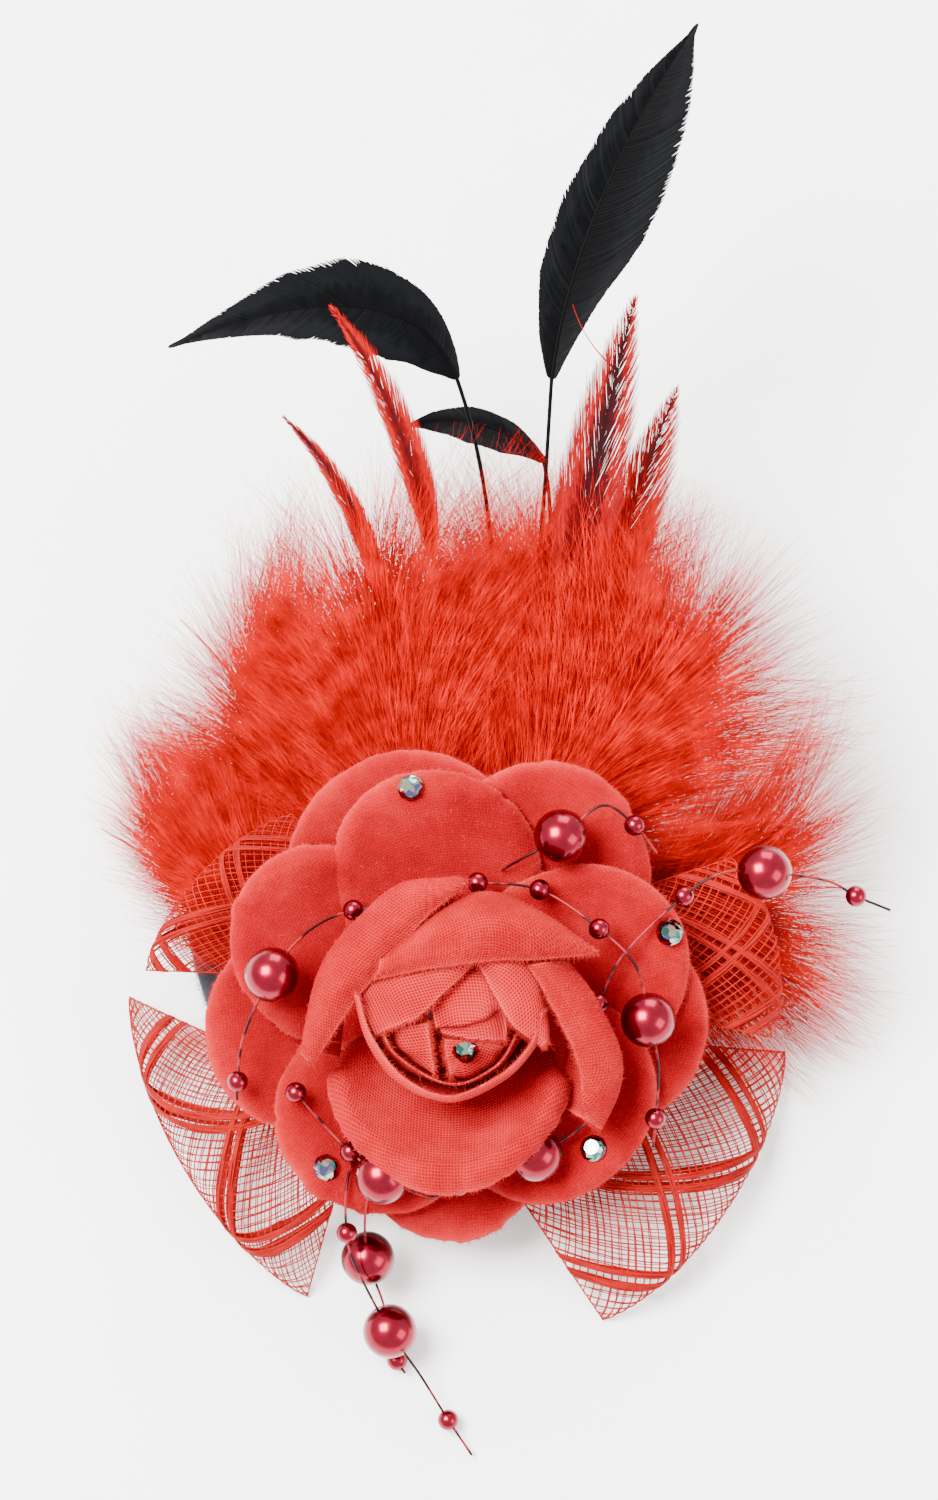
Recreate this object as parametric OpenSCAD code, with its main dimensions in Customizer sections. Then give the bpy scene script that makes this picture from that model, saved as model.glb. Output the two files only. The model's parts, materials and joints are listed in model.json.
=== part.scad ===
// Flower hair clip: a fabric rose with mesh leaves, feathers and bead sprays on a sprung clip.
// World frame: +Z up, +Y toward the clip's nose, the flat of the lower jaw lies on z = 0.
// The flower head leans back, so its own frame (u right, v up the flower, w outward) is tilted.

/* [Clip] */
// Length of the jaws in front of the hinge, mm
jaw_reach = 42; // [34:1:50]
// Length of the finger tabs behind the hinge, mm
tab_length = 17; // [14:1:20]
// Width of the upper jaw, mm
jaw_width = 9; // [7.5:0.5:12]
// Thickness of the steel, mm
steel_thickness = 0.8; // [0.6:0.1:1]
// Height of the upper jaw's top face over the floor, mm
jaw_height = 10; // [9:0.5:12]
// Diameter of the hinge pin, mm
pin_diameter = 1.6; // [1.2:0.1:2]
// Diameter of the spring wire, mm
spring_wire = 0.8; // [0.6:0.1:0.9]

/* [Felt base] */
// Diameter of the felt disc, mm
felt_diameter = 55; // [45:1:65]
// Thickness of the felt disc, mm
felt_thickness = 2; // [1:0.25:3]

/* [Flower head] */
// Height of the rose's centre over the floor, mm
rose_height = 22; // [21:0.5:30]
// Lean of the flower head from level, degrees
head_lean = 20; // [10:1:24]
// Distance of the rose's centre to the right of the clip, mm
rose_side = 12.5; // [8:0.5:16]
// Distance of the rose's centre toward the hinge end, mm
rose_drop = 14; // [8:0.5:16]
// Radius of the rose over its outer petals, mm
rose_radius = 37; // [30:1:42]
// Thickness of a petal, mm
petal_thickness = 0.5; // [0.3:0.1:0.7]
// Rise from one edge of a petal to the next petal's edge, mm
petal_twist = 1.6; // [1.2:0.1:2]

/* [Leaves] */
// Thickness of the folded mesh cloth, mm
leaf_cloth = 0.8; // [0.6:0.1:1]
// Puff of a folded leaf at its middle, mm
leaf_puff = 4; // [2.5:0.25:5]

/* [Feathers] */
// Thickness of a feather's vane, mm
vane_thickness = 0.8; // [0.6:0.1:1.2]
// Diameter of a stripped quill, mm
quill_diameter = 0.9; // [0.7:0.1:1.2]
// Thickness of a marabou plume in its middle, mm
plume_thickness = 5; // [3:0.5:6]

/* [Beads] */
// Diameter of the large pearls, mm
large_pearl = 8; // [7:0.5:9]
// Diameter of the small pearls, mm
small_pearl = 3.1; // [2.5:0.1:3.6]
// Diameter of the nylon line, mm
line_diameter = 0.5; // [0.4:0.05:0.6]
// Diameter of the flat-back crystals, mm
crystal_diameter = 4; // [3:0.25:5]

/* [Hidden] */
$fn = 64;
k = rose_radius / 37;
hinge_y = -10;
hinge_z = 5.4;
felt_bottom = jaw_height;
felt_top = felt_bottom + felt_thickness;
nose_y = hinge_y + jaw_reach;
tab_y = hinge_y - tab_length;
pin_gap = 0.06;

// ---- the flower head's tilted frame ----

module in_head() {
  translate([rose_side, -rose_drop, rose_height])
    rotate([head_lean, 0, 0])
      children();
}

// depth in the head's frame of a point at a stated height over the floor
function depth_at(v, z) = (z - rose_height - v * sin(head_lean)) / cos(head_lean);

// ---- swept bodies: quills, vanes, plumes, lines and the spring's wire ----

function unit(a) = a / norm(a);
function bez(p, t) =
  pow(1 - t, 3) * p[0] + 3 * pow(1 - t, 2) * t * p[1] + 3 * (1 - t) * t * t * p[2] + pow(t, 3) * p[3];

// a closed solid along a path, with an oval section of stated half sizes at each station
module swept(path, wide, thick, sides = 8, up = [0, 0, 1]) {
  n = len(path);
  rings = [
    for (i = [0 : n - 1])
      let (
        a = path[max(i - 1, 0)],
        b = path[min(i + 1, n - 1)],
        run = unit(b - a),
        side = unit(cross(up, run)),
        out = cross(run, side)
      )
      for (j = [0 : sides - 1])
        path[i] + side * wide[i] * cos(360 * j / sides) + out * thick[i] * sin(360 * j / sides)
  ];
  walls = [
    for (i = [0 : n - 2])
      for (j = [0 : sides - 1])
        let (a = i * sides + j, b = i * sides + (j + 1) % sides)
          for (f = [[a, b + sides, b], [a, a + sides, b + sides]])
            f
  ];
  start = [for (j = [0 : sides - 1]) j];
  finish = [for (j = [sides - 1 : -1 : 0]) (n - 1) * sides + j];
  polyhedron(points = rings, faces = concat([start], walls, [finish]), convexity = 6);
}

// half width of a trimmed feather: bare quill, then a leaf-shaped vane
function vane(t, bare, half) =
  t < bare ? quill_diameter / 2
  : quill_diameter / 2 + half * pow(sin(180 * pow((t - bare) / (1 - bare), 0.8)), 0.8);

module feather(p, bare, half, up = [0, 0, 1]) {
  n = 22;
  path = [for (i = [0 : n]) bez(p, i / n)];
  wide = [for (i = [0 : n]) vane(i / n, bare, half)];
  thick = [for (i = [0 : n]) i / n < bare ? quill_diameter / 2 : vane_thickness / 2];
  in_head() swept(path, wide, thick, 6, up);
}

module plume(p, half) {
  n = 14;
  path = [for (i = [0 : n]) bez(p, i / n)];
  wide = [for (i = [0 : n]) 0.8 + half * pow(sin(180 * pow(i / n, 0.75)), 0.7)];
  thick = [for (i = [0 : n]) 0.7 + plume_thickness / 2 * pow(sin(180 * pow(i / n, 0.7)), 0.8)];
  in_head() swept(path, wide, thick, 12);
}

// ---- thin shells: petals and leaves ----

// a closed sheet of stated thickness over a grid of points, rows along, columns across
module shell(grid, thickness) {
  n = len(grid);
  m = len(grid[0]);
  normal = [
    for (i = [0 : n - 1])
      [
        for (j = [0 : m - 1])
          unit(cross(
            grid[min(i + 1, n - 1)][j] - grid[max(i - 1, 0)][j],
            grid[i][min(j + 1, m - 1)] - grid[i][max(j - 1, 0)]
          ))
      ]
  ];
  top = [for (i = [0 : n - 1]) for (j = [0 : m - 1]) grid[i][j] + normal[i][j] * thickness / 2];
  low = [for (i = [0 : n - 1]) for (j = [0 : m - 1]) grid[i][j] - normal[i][j] * thickness / 2];
  q = n * m;
  faces_top = [
    for (i = [0 : n - 2]) for (j = [0 : m - 2])
      let (a = i * m + j, b = a + 1, c = a + m + 1, d = a + m)
        for (f = [[a, b, c], [a, c, d]]) f
  ];
  faces_low = [for (f = faces_top) [f[0] + q, f[2] + q, f[1] + q]];
  rim = concat(
    [for (j = [0 : m - 1]) j],
    [for (i = [1 : n - 1]) i * m + m - 1],
    [for (j = [m - 2 : -1 : 0]) (n - 1) * m + j],
    [for (i = [n - 2 : -1 : 1]) i * m]
  );
  faces_rim = [
    for (e = [0 : len(rim) - 1])
      let (a = rim[e], b = rim[(e + 1) % len(rim)])
        for (f = [[a, b + q, b], [a, a + q, b + q]]) f
  ];
  polyhedron(points = concat(top, low), faces = concat(faces_top, faces_low, faces_rim), convexity = 6);
}

// profiles of the five whorls: distance from the axis against height, mm, for a 37 mm rose
back_whorl = [[4, -3], [8, -3], [14, -2.4], [20, -1], [26, 1], [32, 3], [36, 3.6], [40, 3.2]];
front_whorl = [[4, 0.6], [8, 0.7], [14, 1.6], [20, 3.2], [26, 5.4], [31, 7.4], [34, 8], [38, 7.6]];
cup_whorl = [[4.6, 4.2], [8, 4.8], [12, 6.8], [16, 9.8], [20, 13.4], [23, 16.2], [26, 18.2]];
bud_whorl = [[3.4, 7], [6, 8], [9, 10.4], [11.4, 14], [13, 18], [14, 22.6]];
heart_whorl = [[1.6, 9.4], [3, 11], [4.8, 14], [6, 17.6], [6.8, 22]];

// height on a whorl, eased between the rows so that the cloth bends instead of creasing
function rise(r, whorl) =
  (lookup(r - 1.5, whorl) + lookup(r - 0.75, whorl) + lookup(r, whorl) + lookup(r + 0.75, whorl)
    + lookup(r + 1.5, whorl)) / 5;

// half width of a petal at t along it, as a share of its widest
function petal_outline(t, widest) =
  t < widest ? 0.42 + 0.58 * sin(90 * t / widest)
  : 0.12 + 0.88 * sqrt(max(0, 1 - pow((t - widest) / (1 - widest), 2)));

// one petal of a whorl: inner and outer reach, half width, bearing, and the whorl's spacing
module petal(whorl, inner, outer, half, bearing, spacing, widest = 0.62, tip_lift = 0) {
  n = 11;
  m = 11;
  grid = [
    for (i = [0 : n])
      let (
        t = sin(90 * pow(i / n, 1.15)),
        r = inner + (outer - inner) * t,
        slope = rise(r + 0.5, whorl) - rise(r - 0.5, whorl),
        spread = min(62, half * petal_outline(t, widest) / max(r, 2.2 * inner) * 180 / PI)
      )
      [
        for (j = [0 : m])
          let (
            s = 2 * j / m - 1,
            turn = spread * s,
            off = petal_twist * turn / spacing + tip_lift * t * t * s * s,
            lean = norm([1, slope]),
            rr = r - off * slope / lean,
            zz = rise(r, whorl) + off / lean
          )
          [k * rr * cos(bearing + turn), k * rr * sin(bearing + turn), k * zz]
      ]
  ];
  in_head() shell(grid, petal_thickness);
}

module back_petal(outer, half, bearing) {
  color([0.86, 0.16, 0.17]) petal(back_whorl, 4.2, outer, half, bearing, 72);
}

module front_petal(outer, half, bearing) {
  color([0.92, 0.2, 0.2]) petal(front_whorl, 4.2, outer, half, bearing, 72);
}

module cup_petal(outer, half, bearing) {
  color([0.94, 0.25, 0.24]) petal(cup_whorl, 4.8, outer, half, bearing, 72, 0.6);
}

module bud_petal(outer, half, bearing) {
  color([0.95, 0.38, 0.36]) petal(bud_whorl, 3.6, outer, half, bearing, 80, 0.7);
}

module heart_petal(outer, half, bearing) {
  color([0.95, 0.42, 0.4]) petal(heart_whorl, 1.8, outer, half, bearing, 100, 0.7);
}

// a leaf of open mesh: a strip folded over at its outer edge and drawn in at its root
module leaf(tip_a, tip_b, bulge, root_a, root_b, tip_z, arch_z, root_z, puff, drop) {
  n = 14;
  m = 12;
  along = [tip_b[0] - tip_a[0], tip_b[1] - tip_a[1]];
  outward = [along[1], -along[0]] / norm(along);
  sense = outward * (tip_a - root_a) > 0 ? 1 : -1;
  grid = [
    for (j = [0 : m])
      let (
        b = j / m,
        arch = 4 * b * (1 - b),
        fold = tip_a + along * b + outward * sense * bulge * pow(arch, 0.8),
        root = root_a + (root_b - root_a) * b,
        lift = 0.3 + (puff - 0.3) * pow(arch, 0.7),
        fold_z = tip_z[0] + (tip_z[1] - tip_z[0]) * b + leaf_cloth / 2 + arch_z * pow(arch, 0.8)
      )
      [
        for (i = [0 : n])
          let (
            turn = 180 * i / n,
            c = sin(turn),
            open = 3.5 * lift * c * c * sqrt(max(0, 1 - c)) + 0.6 * (1 - c),
            p = root + (fold - root) * c,
            z = root_z + (fold_z - root_z) * pow(c, drop) + (turn < 90 ? open : -open)
          )
          [p[0], p[1], depth_at(p[1], z)]
      ]
  ];
  color([0.9, 0.16, 0.14, 0.75]) in_head() shell(grid, leaf_cloth);
}

// ---- clip ----

module side_plate(x, outline_bottom, radius, bore) {
  translate([x, 0, 0])
    rotate([90, 0, 90])
      linear_extrude(steel_thickness)
        difference() {
          union() {
            translate([hinge_y, hinge_z]) circle(r = radius);
            translate([hinge_y - radius, min(outline_bottom, hinge_z)])
              square([2 * radius, abs(outline_bottom - hinge_z)]);
          }
          translate([hinge_y, hinge_z]) circle(d = bore);
        }
}

// flat plate glued under the felt, with two ears that carry the pin
module upper_jaw() {
  w = jaw_width / 2;
  color([0.75, 0.76, 0.78]) {
    difference() {
      translate([0, 0, jaw_height - steel_thickness])
        linear_extrude(steel_thickness)
          polygon([
            [-w, tab_y], [w, tab_y], [w, nose_y - 10], [w / 2, nose_y], [-w / 2, nose_y], [-w, nose_y - 10]
          ]);
      for (y = [hinge_y + 10, hinge_y + 18, hinge_y + 26])
        translate([0, y, jaw_height - 2]) cylinder(d = 2.5, h = 4);
    }
    side_plate(w - steel_thickness, jaw_height - steel_thickness, 2.5, pin_diameter);
    side_plate(-w, jaw_height - steel_thickness, 2.5, pin_diameter);
  }
}

// bowed strip: flat on the floor, rising to the nose, with a finger tab behind the hinge
module lower_jaw() {
  w = jaw_width / 2 - steel_thickness - 0.2;
  s = steel_thickness;
  top = jaw_height - s - 0.05;
  slope_run = nose_y - (hinge_y + 28);
  color([0.7, 0.71, 0.73]) {
    rotate([90, 0, 90])
      translate([0, 0, -w])
        linear_extrude(2 * w)
          polygon([
            [tab_y, 0.2], [hinge_y - 2, 2.0], [hinge_y + 2, 2.0], [hinge_y + 7, 0],
            [hinge_y + 28, 0], [nose_y, top - s], [nose_y, top], [nose_y - 1, top],
            [hinge_y + 27.7, s], [hinge_y + 7.2, s], [hinge_y + 2.2, 2.0 + s],
            [hinge_y - 2.1, 2.0 + s], [tab_y, 0.2 + s]
          ]);
    side_plate(w - s, 2.4, 2.1, pin_diameter + 2 * pin_gap);
    side_plate(-w, 2.4, 2.1, pin_diameter + 2 * pin_gap);
  }
}

// headed pin, held in the upper jaw's ears
module hinge_pin() {
  w = jaw_width / 2;
  color([0.6, 0.61, 0.63])
    translate([0, hinge_y, hinge_z])
      rotate([0, 90, 0]) {
        translate([0, 0, -w - 0.5]) cylinder(d = pin_diameter, h = 2 * w + 1);
        translate([0, 0, w]) cylinder(d = pin_diameter + 1, h = 0.5);
        translate([0, 0, -w - 0.5]) cylinder(d = pin_diameter + 1, h = 0.5);
      }
}

// torsion spring: a coil round the pin with a leg against each tab
module jaw_spring() {
  r = pin_diameter / 2 + spring_wire / 2 + 0.65;
  turns = 4.5;
  steps = 72;
  start = -turns * (spring_wire + 0.15) / 2;
  coil = [
    for (i = [0 : steps])
      let (a = 90 + 360 * turns * i / steps)
        [start - 2 * start * i / steps, hinge_y + r * cos(a), hinge_z + r * sin(a)]
  ];
  leg_y = tab_y + 5;
  upper_leg = [start, leg_y, jaw_height - steel_thickness - spring_wire / 2 - 0.05];
  lower_leg = [-start, leg_y, 0.2 + steel_thickness + 1.8 * 5 / (tab_length - 2) + spring_wire / 2 + 0.1];
  path = concat([upper_leg], coil, [lower_leg]);
  h = [for (i = path) spring_wire / 2];
  color([0.5, 0.51, 0.53]) swept(path, h, h, 6, [1, 0.01, 0.02]);
}

// ---- base ----

// felt disc that hides the clip and carries everything else
module felt_base() {
  color([0.13, 0.15, 0.2])
    translate([0, 0, felt_bottom]) cylinder(d = felt_diameter, h = felt_thickness);
}

// hot-melt glue that holds the stem and all the roots
module glue_mound() {
  color([0.92, 0.88, 0.78])
    translate([rose_side * 0.7, -rose_drop * 0.6, 0])
      rotate_extrude()
        polygon([
          [0, felt_top], [15, felt_top], [14, felt_top + 1.6], [10, felt_top + 3.6],
          [5, felt_top + 4.4], [0, felt_top + 4.6]
        ]);
}

// moulded seat under the petals
module rose_stem() {
  color([0.55, 0.1, 0.12])
    in_head()
      scale([k, k, k])
        rotate_extrude()
          polygon([
            [0, -8.2], [5, -8.2], [5, -3.4], [4.6, 0.4], [5.3, 4], [4.6, 6.6], [2.6, 8.8], [2.2, 10.4], [0, 11]
          ]);
}

// ---- leaves ----

module leaf_left_low() {
  leaf([-50, -0.7], [-21.9, -44.8], 5.5, [-33, -7], [-14, -16], [0, 0], 6, felt_top + 1.1, leaf_puff, 1.5);
}

module leaf_right_low() {
  leaf([21.8, -48.1], [50.3, -8.9], 5.5, [-2, -12], [10, -5], [0, 0], 6, felt_top + 1, leaf_puff, 1.5);
}

module leaf_left_high() {
  leaf([-24, 27.5], [-45.9, 4.1], 4, [-9, 10], [-13, 3], [29, 21], 1, felt_top + 4.4, 0.6 * leaf_puff, 0.8);
}

module leaf_right_high() {
  leaf([46.8, -5.8], [41, 21], 4, [6, 3], [5, 9], [18, 24.5], 1, felt_top + 4.4, 0.6 * leaf_puff, 0.8);
}

// ---- feathers ----

module feather_tall() {
  color([0.04, 0.04, 0.05])
    feather([[3, 11, -12.2], [13, 62, -12.2], [10, 96, -6], [34.8, 142.4, 4]], 0.6, 9.5);
}

module feather_left() {
  color([0.04, 0.04, 0.05])
    feather([[-1, 10, -12.7], [15, 62, -12.7], [6, 116, -3], [-41, 97, 2]], 0.56, 7);
}

module feather_middle() {
  color([0.04, 0.04, 0.05])
    feather([[5, 10, -12.4], [18, 70, -12.2], [16, 84, -12.2], [-7, 86, -12]], 0.66, 3.2);
}

module feather_right() {
  color([0.05, 0.03, 0.05])
    feather([[7, 10, -13.1], [14, 36, -13.1], [16, 58, -13.1], [19, 78, -13.1]], 0.3, 6);
}

module hackle_left() {
  color([0.7, 0.12, 0.13])
    feather([[-5, 9, -12.2], [-4, 66, -12.4], [-5, 78, -8], [-17.9, 101.8, 2]], 0.3, 3.4);
}

module hackle_far_left() {
  color([0.6, 0.1, 0.1])
    feather([[-7.5, 9, -12], [-9, 50, -11.8], [-14, 72, -11.8], [-25.6, 86.9, -11.8]], 0.3, 2.6);
}

module hackle_right() {
  color([0.5, 0.08, 0.12])
    feather([[0, 8, -11], [13, 55, -10.6], [20, 76, -8], [28, 103, 1]], 0.3, 5.5);
}

module hackle_back() {
  color([0.62, 0.1, 0.12])
    feather([[8, 8, -11.9], [20, 50, -11.4], [26, 68, -11.3], [33.3, 91, -11]], 0.3, 3.5);
}

module marabou_1() {
  color([0.93, 0.1, 0.09]) plume([[-14, 6, -10.4], [-24, 9, -8.8], [-40, 17, -11], [-55, 26, -13]], 7.5);
}

module marabou_2() {
  color([0.93, 0.1, 0.09]) plume([[-9, 11, -12.6], [-21, 31, -17], [-30, 46, -17], [-43, 58, -16]], 7.5);
}

module marabou_3() {
  color([0.9, 0.09, 0.08]) plume([[-3.5, 9, -10.6], [-8, 36, -6.6], [-11, 54, -6.4], [-15, 66, -6.4]], 9);
}

module marabou_4() {
  color([0.9, 0.09, 0.08]) plume([[2, 12.5, -14], [10, 40, -19], [13, 54, -19], [17, 72, -19]], 9);
}

module marabou_5() {
  color([0.93, 0.1, 0.09]) plume([[3, 9, -9.8], [16, 33, -6.4], [32, 46, -7], [46, 58, -7]], 8.5);
}

module marabou_6() {
  color([0.93, 0.1, 0.09]) plume([[14, 6, -12], [26, 10, -12.6], [44, 18, -12.8], [60, 16, -13]], 7.5);
}

// ---- petals ----

module petal_back_1() { back_petal(39.2, 18, 56); }
module petal_back_2() { back_petal(38.2, 20, 110); }
module petal_back_3() { back_petal(37.2, 18, 190); }
module petal_back_4() { back_petal(35.2, 16, 268); }
module petal_back_5() { back_petal(37.4, 18, 352); }
module petal_front_1() { front_petal(34.4, 17, 99); }
module petal_front_2() { front_petal(35.2, 16, 155); }
module petal_front_3() { front_petal(34.6, 17, 236); }
module petal_front_4() { front_petal(34.8, 18, 315); }
module petal_front_5() { front_petal(35, 17, 15); }
module petal_cup_1() { cup_petal(16.8, 17, 86); }
module petal_cup_2() { cup_petal(21.5, 13, 167); }
module petal_cup_3() { cup_petal(25.5, 22, 268); }
module petal_cup_4() { cup_petal(24, 16, 346); }
module petal_bud_1() { bud_petal(13.2, 9, 120); }
module petal_bud_2() { bud_petal(13.8, 11, 215); }
module petal_bud_3() { bud_petal(13.6, 9, 300); }
module petal_bud_4() { bud_petal(13.6, 9, 30); }
module petal_heart_1() { heart_petal(6.2, 4.4, 70); }
module petal_heart_2() { heart_petal(6.4, 4.4, 190); }
module petal_heart_3() { heart_petal(6.4, 4.4, 290); }

// ---- bead sprays: a stiff line glued at its root, with pearls glued along it ----

top_route = [
  [6.7, 19.2, 3.6], [10, 21.2, 6.4], [15.5, 24.4, 8], [21.5, 28.9, 9], [26.3, 26, 7.2], [29.6, 21.9, 6]
];
right_route = [
  [21, 0, 8.4], [24.5, 7, 8.6], [33.4, 15.7, 8.8], [39.2, 19.2, 10], [45.1, 19.2, 10],
  [54, 18, 9.5], [58.5, 15.7, 9], [63.6, 13.6, 8]
];
mid_route = [
  [3.3, 17.6, 7.6], [12.4, 16.6, 8], [21, 11, 10.6], [26.4, 5.4, 12], [28.1, -2.2, 11.4],
  [29.6, -8.9, 10.6], [29.2, -16.6, 10.3], [28.9, -20.7, 9.6]
];
left_route = [
  [-2.7, 15.5, 12.6], [-14.8, 13.6, 7.9], [-21.5, 10.5, 10.5], [-26.5, 4.4, 12], [-30.6, -4.4, 11],
  [-31.7, -11.4, 8.5], [-31.8, -14.1, 8]
];
low_route = [
  [-23.2, -13, 8.3], [-18.6, -18.2, 8.4], [-15.2, -21.5, 9.4], [-10.5, -25, 11], [-3.7, -28.1, 9],
  [0.7, -26.6, 8], [6, -24.6, 8.6], [11.8, -21.9, 9.6], [17.8, -18.5, 8.6], [23.2, -13.3, 8.4]
];
drop_route = [
  [-14.4, -20.4, 4.8], [-15.8, -27, 9], [-15.8, -33.7, 6.6], [-14.6, -38.5, 5.8], [-9.6, -48.8, 1.6],
  [-5, -55.5, 1.4], [-1, -61.9, 1.5], [2.5, -67, 2.2]
];
short_route = [
  [-11, -22, 4.6], [-13, -30, 8], [-12.9, -38.2, 0.2], [-10.8, -45, -3.2], [-9.6, -50, -3.8],
  [-8.6, -53.6, -2], [-7.4, -55.5, -1.6]
];

function spline(p, t) =
  let (
    n = len(p) - 1,
    i = min(floor(t), n - 1),
    f = t - i,
    a = p[max(i - 1, 0)],
    b = p[i],
    c = p[i + 1],
    d = p[min(i + 2, n)]
  )
  0.5 * (2 * b + (c - a) * f + (2 * a - 5 * b + 4 * c - d) * f * f + (3 * b - a - 3 * c + d) * f * f * f);

module line_on(route) {
  steps = 6 * (len(route) - 1);
  path = [for (i = [0 : steps]) k * spline(route, i / 6)];
  h = [for (i = path) line_diameter / 2];
  color([0.45, 0.04, 0.1]) in_head() swept(path, h, h, 6, [0.1, 0.05, 1]);
}

module pearl(p, d) {
  color([0.67, 0.08, 0.2]) in_head() translate(k * p) sphere(d = d);
}

module line_top() { line_on(top_route); }
module line_right() { line_on(right_route); }
module line_mid() { line_on(mid_route); }
module line_left() { line_on(left_route); }
module line_low() { line_on(low_route); }

module line_drop() {
  line_on(drop_route);
  line_on(short_route);
}

module pearls_top() {
  pearl(top_route[2], large_pearl);
  pearl(top_route[4], small_pearl);
}

module pearls_right() {
  pearl(right_route[4], large_pearl);
  for (i = [0, 2, 6])
    pearl(right_route[i], small_pearl);
}

module pearls_mid() {
  pearl(mid_route[4], large_pearl);
  for (i = [0, 1, 2, 6])
    pearl(mid_route[i], small_pearl);
}

module pearls_left() {
  pearl(left_route[3], large_pearl);
  for (i = [0, 1, 5])
    pearl(left_route[i], small_pearl);
}

module pearls_low() {
  pearl(low_route[3], large_pearl);
  pearl(low_route[7], large_pearl);
  for (i = [0, 2, 5])
    pearl(low_route[i], small_pearl);
}

module pearls_drop() {
  pearl(drop_route[4], large_pearl);
  pearl(short_route[2], large_pearl);
  pearl(drop_route[2], small_pearl);
  pearl(drop_route[6], small_pearl);
  pearl(short_route[5], small_pearl);
}

// flat-backed crystals, cut with eight sides, glued on petals
module crystal(p, lean_x, lean_y) {
  in_head()
    translate(k * p)
      rotate([lean_x, lean_y, 0]) {
        cylinder(d = crystal_diameter, h = 0.5, $fn = 8);
        translate([0, 0, 0.5]) cylinder(d1 = crystal_diameter, d2 = crystal_diameter * 0.55, h = 1.1, $fn = 8);
      }
}

module crystals() {
  color([0.85, 0.92, 0.9, 0.6]) {
    crystal([-6.4, 31.5, 7.9], 13, 3);
    crystal([1.6, -6, 18.4], 52, 4);
    crystal([20.3, -21.3, 7], -15, -14);
    crystal([-18.8, -24.1, 7.3], -15, 12);
    crystal([31.4, 10.4, 8.1], -3, -8);
  }
}

upper_jaw();
lower_jaw();
hinge_pin();
jaw_spring();
felt_base();
glue_mound();
rose_stem();
leaf_left_low();
leaf_right_low();
leaf_left_high();
leaf_right_high();
feather_tall();
feather_left();
feather_middle();
feather_right();
hackle_left();
hackle_far_left();
hackle_right();
hackle_back();
marabou_1();
marabou_2();
marabou_3();
marabou_4();
marabou_5();
marabou_6();
petal_back_1();
petal_back_2();
petal_back_3();
petal_back_4();
petal_back_5();
petal_front_1();
petal_front_2();
petal_front_3();
petal_front_4();
petal_front_5();
petal_cup_1();
petal_cup_2();
petal_cup_3();
petal_cup_4();
petal_bud_1();
petal_bud_2();
petal_bud_3();
petal_bud_4();
petal_heart_1();
petal_heart_2();
petal_heart_3();
line_top();
line_right();
line_mid();
line_left();
line_low();
line_drop();
pearls_top();
pearls_right();
pearls_mid();
pearls_left();
pearls_low();
pearls_drop();
crystals();
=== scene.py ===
import json
import math

import bpy
import numpy as np
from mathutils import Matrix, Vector


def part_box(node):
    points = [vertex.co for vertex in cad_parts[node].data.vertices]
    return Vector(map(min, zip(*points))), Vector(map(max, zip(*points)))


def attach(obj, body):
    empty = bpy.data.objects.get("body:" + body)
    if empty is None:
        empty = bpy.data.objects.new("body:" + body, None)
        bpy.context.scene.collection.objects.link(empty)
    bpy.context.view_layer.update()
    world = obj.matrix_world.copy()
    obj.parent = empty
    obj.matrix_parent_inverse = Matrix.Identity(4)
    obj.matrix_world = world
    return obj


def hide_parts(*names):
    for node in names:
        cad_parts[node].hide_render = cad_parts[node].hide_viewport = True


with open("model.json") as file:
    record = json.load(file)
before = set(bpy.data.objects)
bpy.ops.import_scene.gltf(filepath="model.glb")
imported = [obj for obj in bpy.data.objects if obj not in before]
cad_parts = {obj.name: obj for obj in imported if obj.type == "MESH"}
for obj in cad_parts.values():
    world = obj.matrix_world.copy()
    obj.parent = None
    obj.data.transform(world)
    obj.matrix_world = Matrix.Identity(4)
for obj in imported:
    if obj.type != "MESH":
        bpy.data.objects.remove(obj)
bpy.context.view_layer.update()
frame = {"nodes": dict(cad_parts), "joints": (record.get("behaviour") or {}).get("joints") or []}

MM = 0.001

# ---- Clip: jaws, pin and spring ----
# A plated steel alligator clip: a flat upper jaw glued under the felt, a bowed lower jaw that turns on
# a headed pin, and a wire spring round the pin with a leg against each finger tab.


def finish_of(name, roughness, **sockets):
    """A new material and its main shader, with the stated sockets set."""
    made = bpy.data.materials.new(name)
    made.use_nodes = True
    shader = made.node_tree.nodes["Principled BSDF"]
    shader.inputs["Roughness"].default_value = roughness
    for socket, value in sockets.items():
        shader.inputs[socket.replace("_", " ").title().replace("Ior", "IOR")].default_value = value
    return made, shader


def add(made, kind, settings=None, **inputs):
    """A new node in a material, with settings as attributes and inputs as values or links."""
    new = made.node_tree.nodes.new("ShaderNode" + kind)
    for key, value in (settings or {}).items():
        setattr(new, key, value)
    for key, value in inputs.items():
        socket = new.inputs[key.replace("_", " ")]
        if isinstance(value, bpy.types.NodeSocket):
            made.node_tree.links.new(value, socket)
        else:
            socket.default_value = value
    return new


def join(made, source, socket):
    made.node_tree.links.new(source, socket)


def place(made, stretch=(1, 1, 1)):
    """Object coordinates in metres, stretched along an axis where the grain runs."""
    spot = add(made, "TexCoord").outputs["Object"]
    return add(made, "Mapping", Vector=spot, Scale=stretch).outputs["Vector"]


def shades(made, factor, *stops):
    """A colour that runs through (position, colour) stops as factor goes from 0 to 1."""
    ramp = add(made, "ValToRGB", Fac=factor)
    while len(ramp.color_ramp.elements) < len(stops):
        ramp.color_ramp.elements.new(0.5)
    for element, (position, colour) in zip(ramp.color_ramp.elements, stops):
        element.position = position
        element.color = (*colour, 1)
    return ramp.outputs["Color"]


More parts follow.
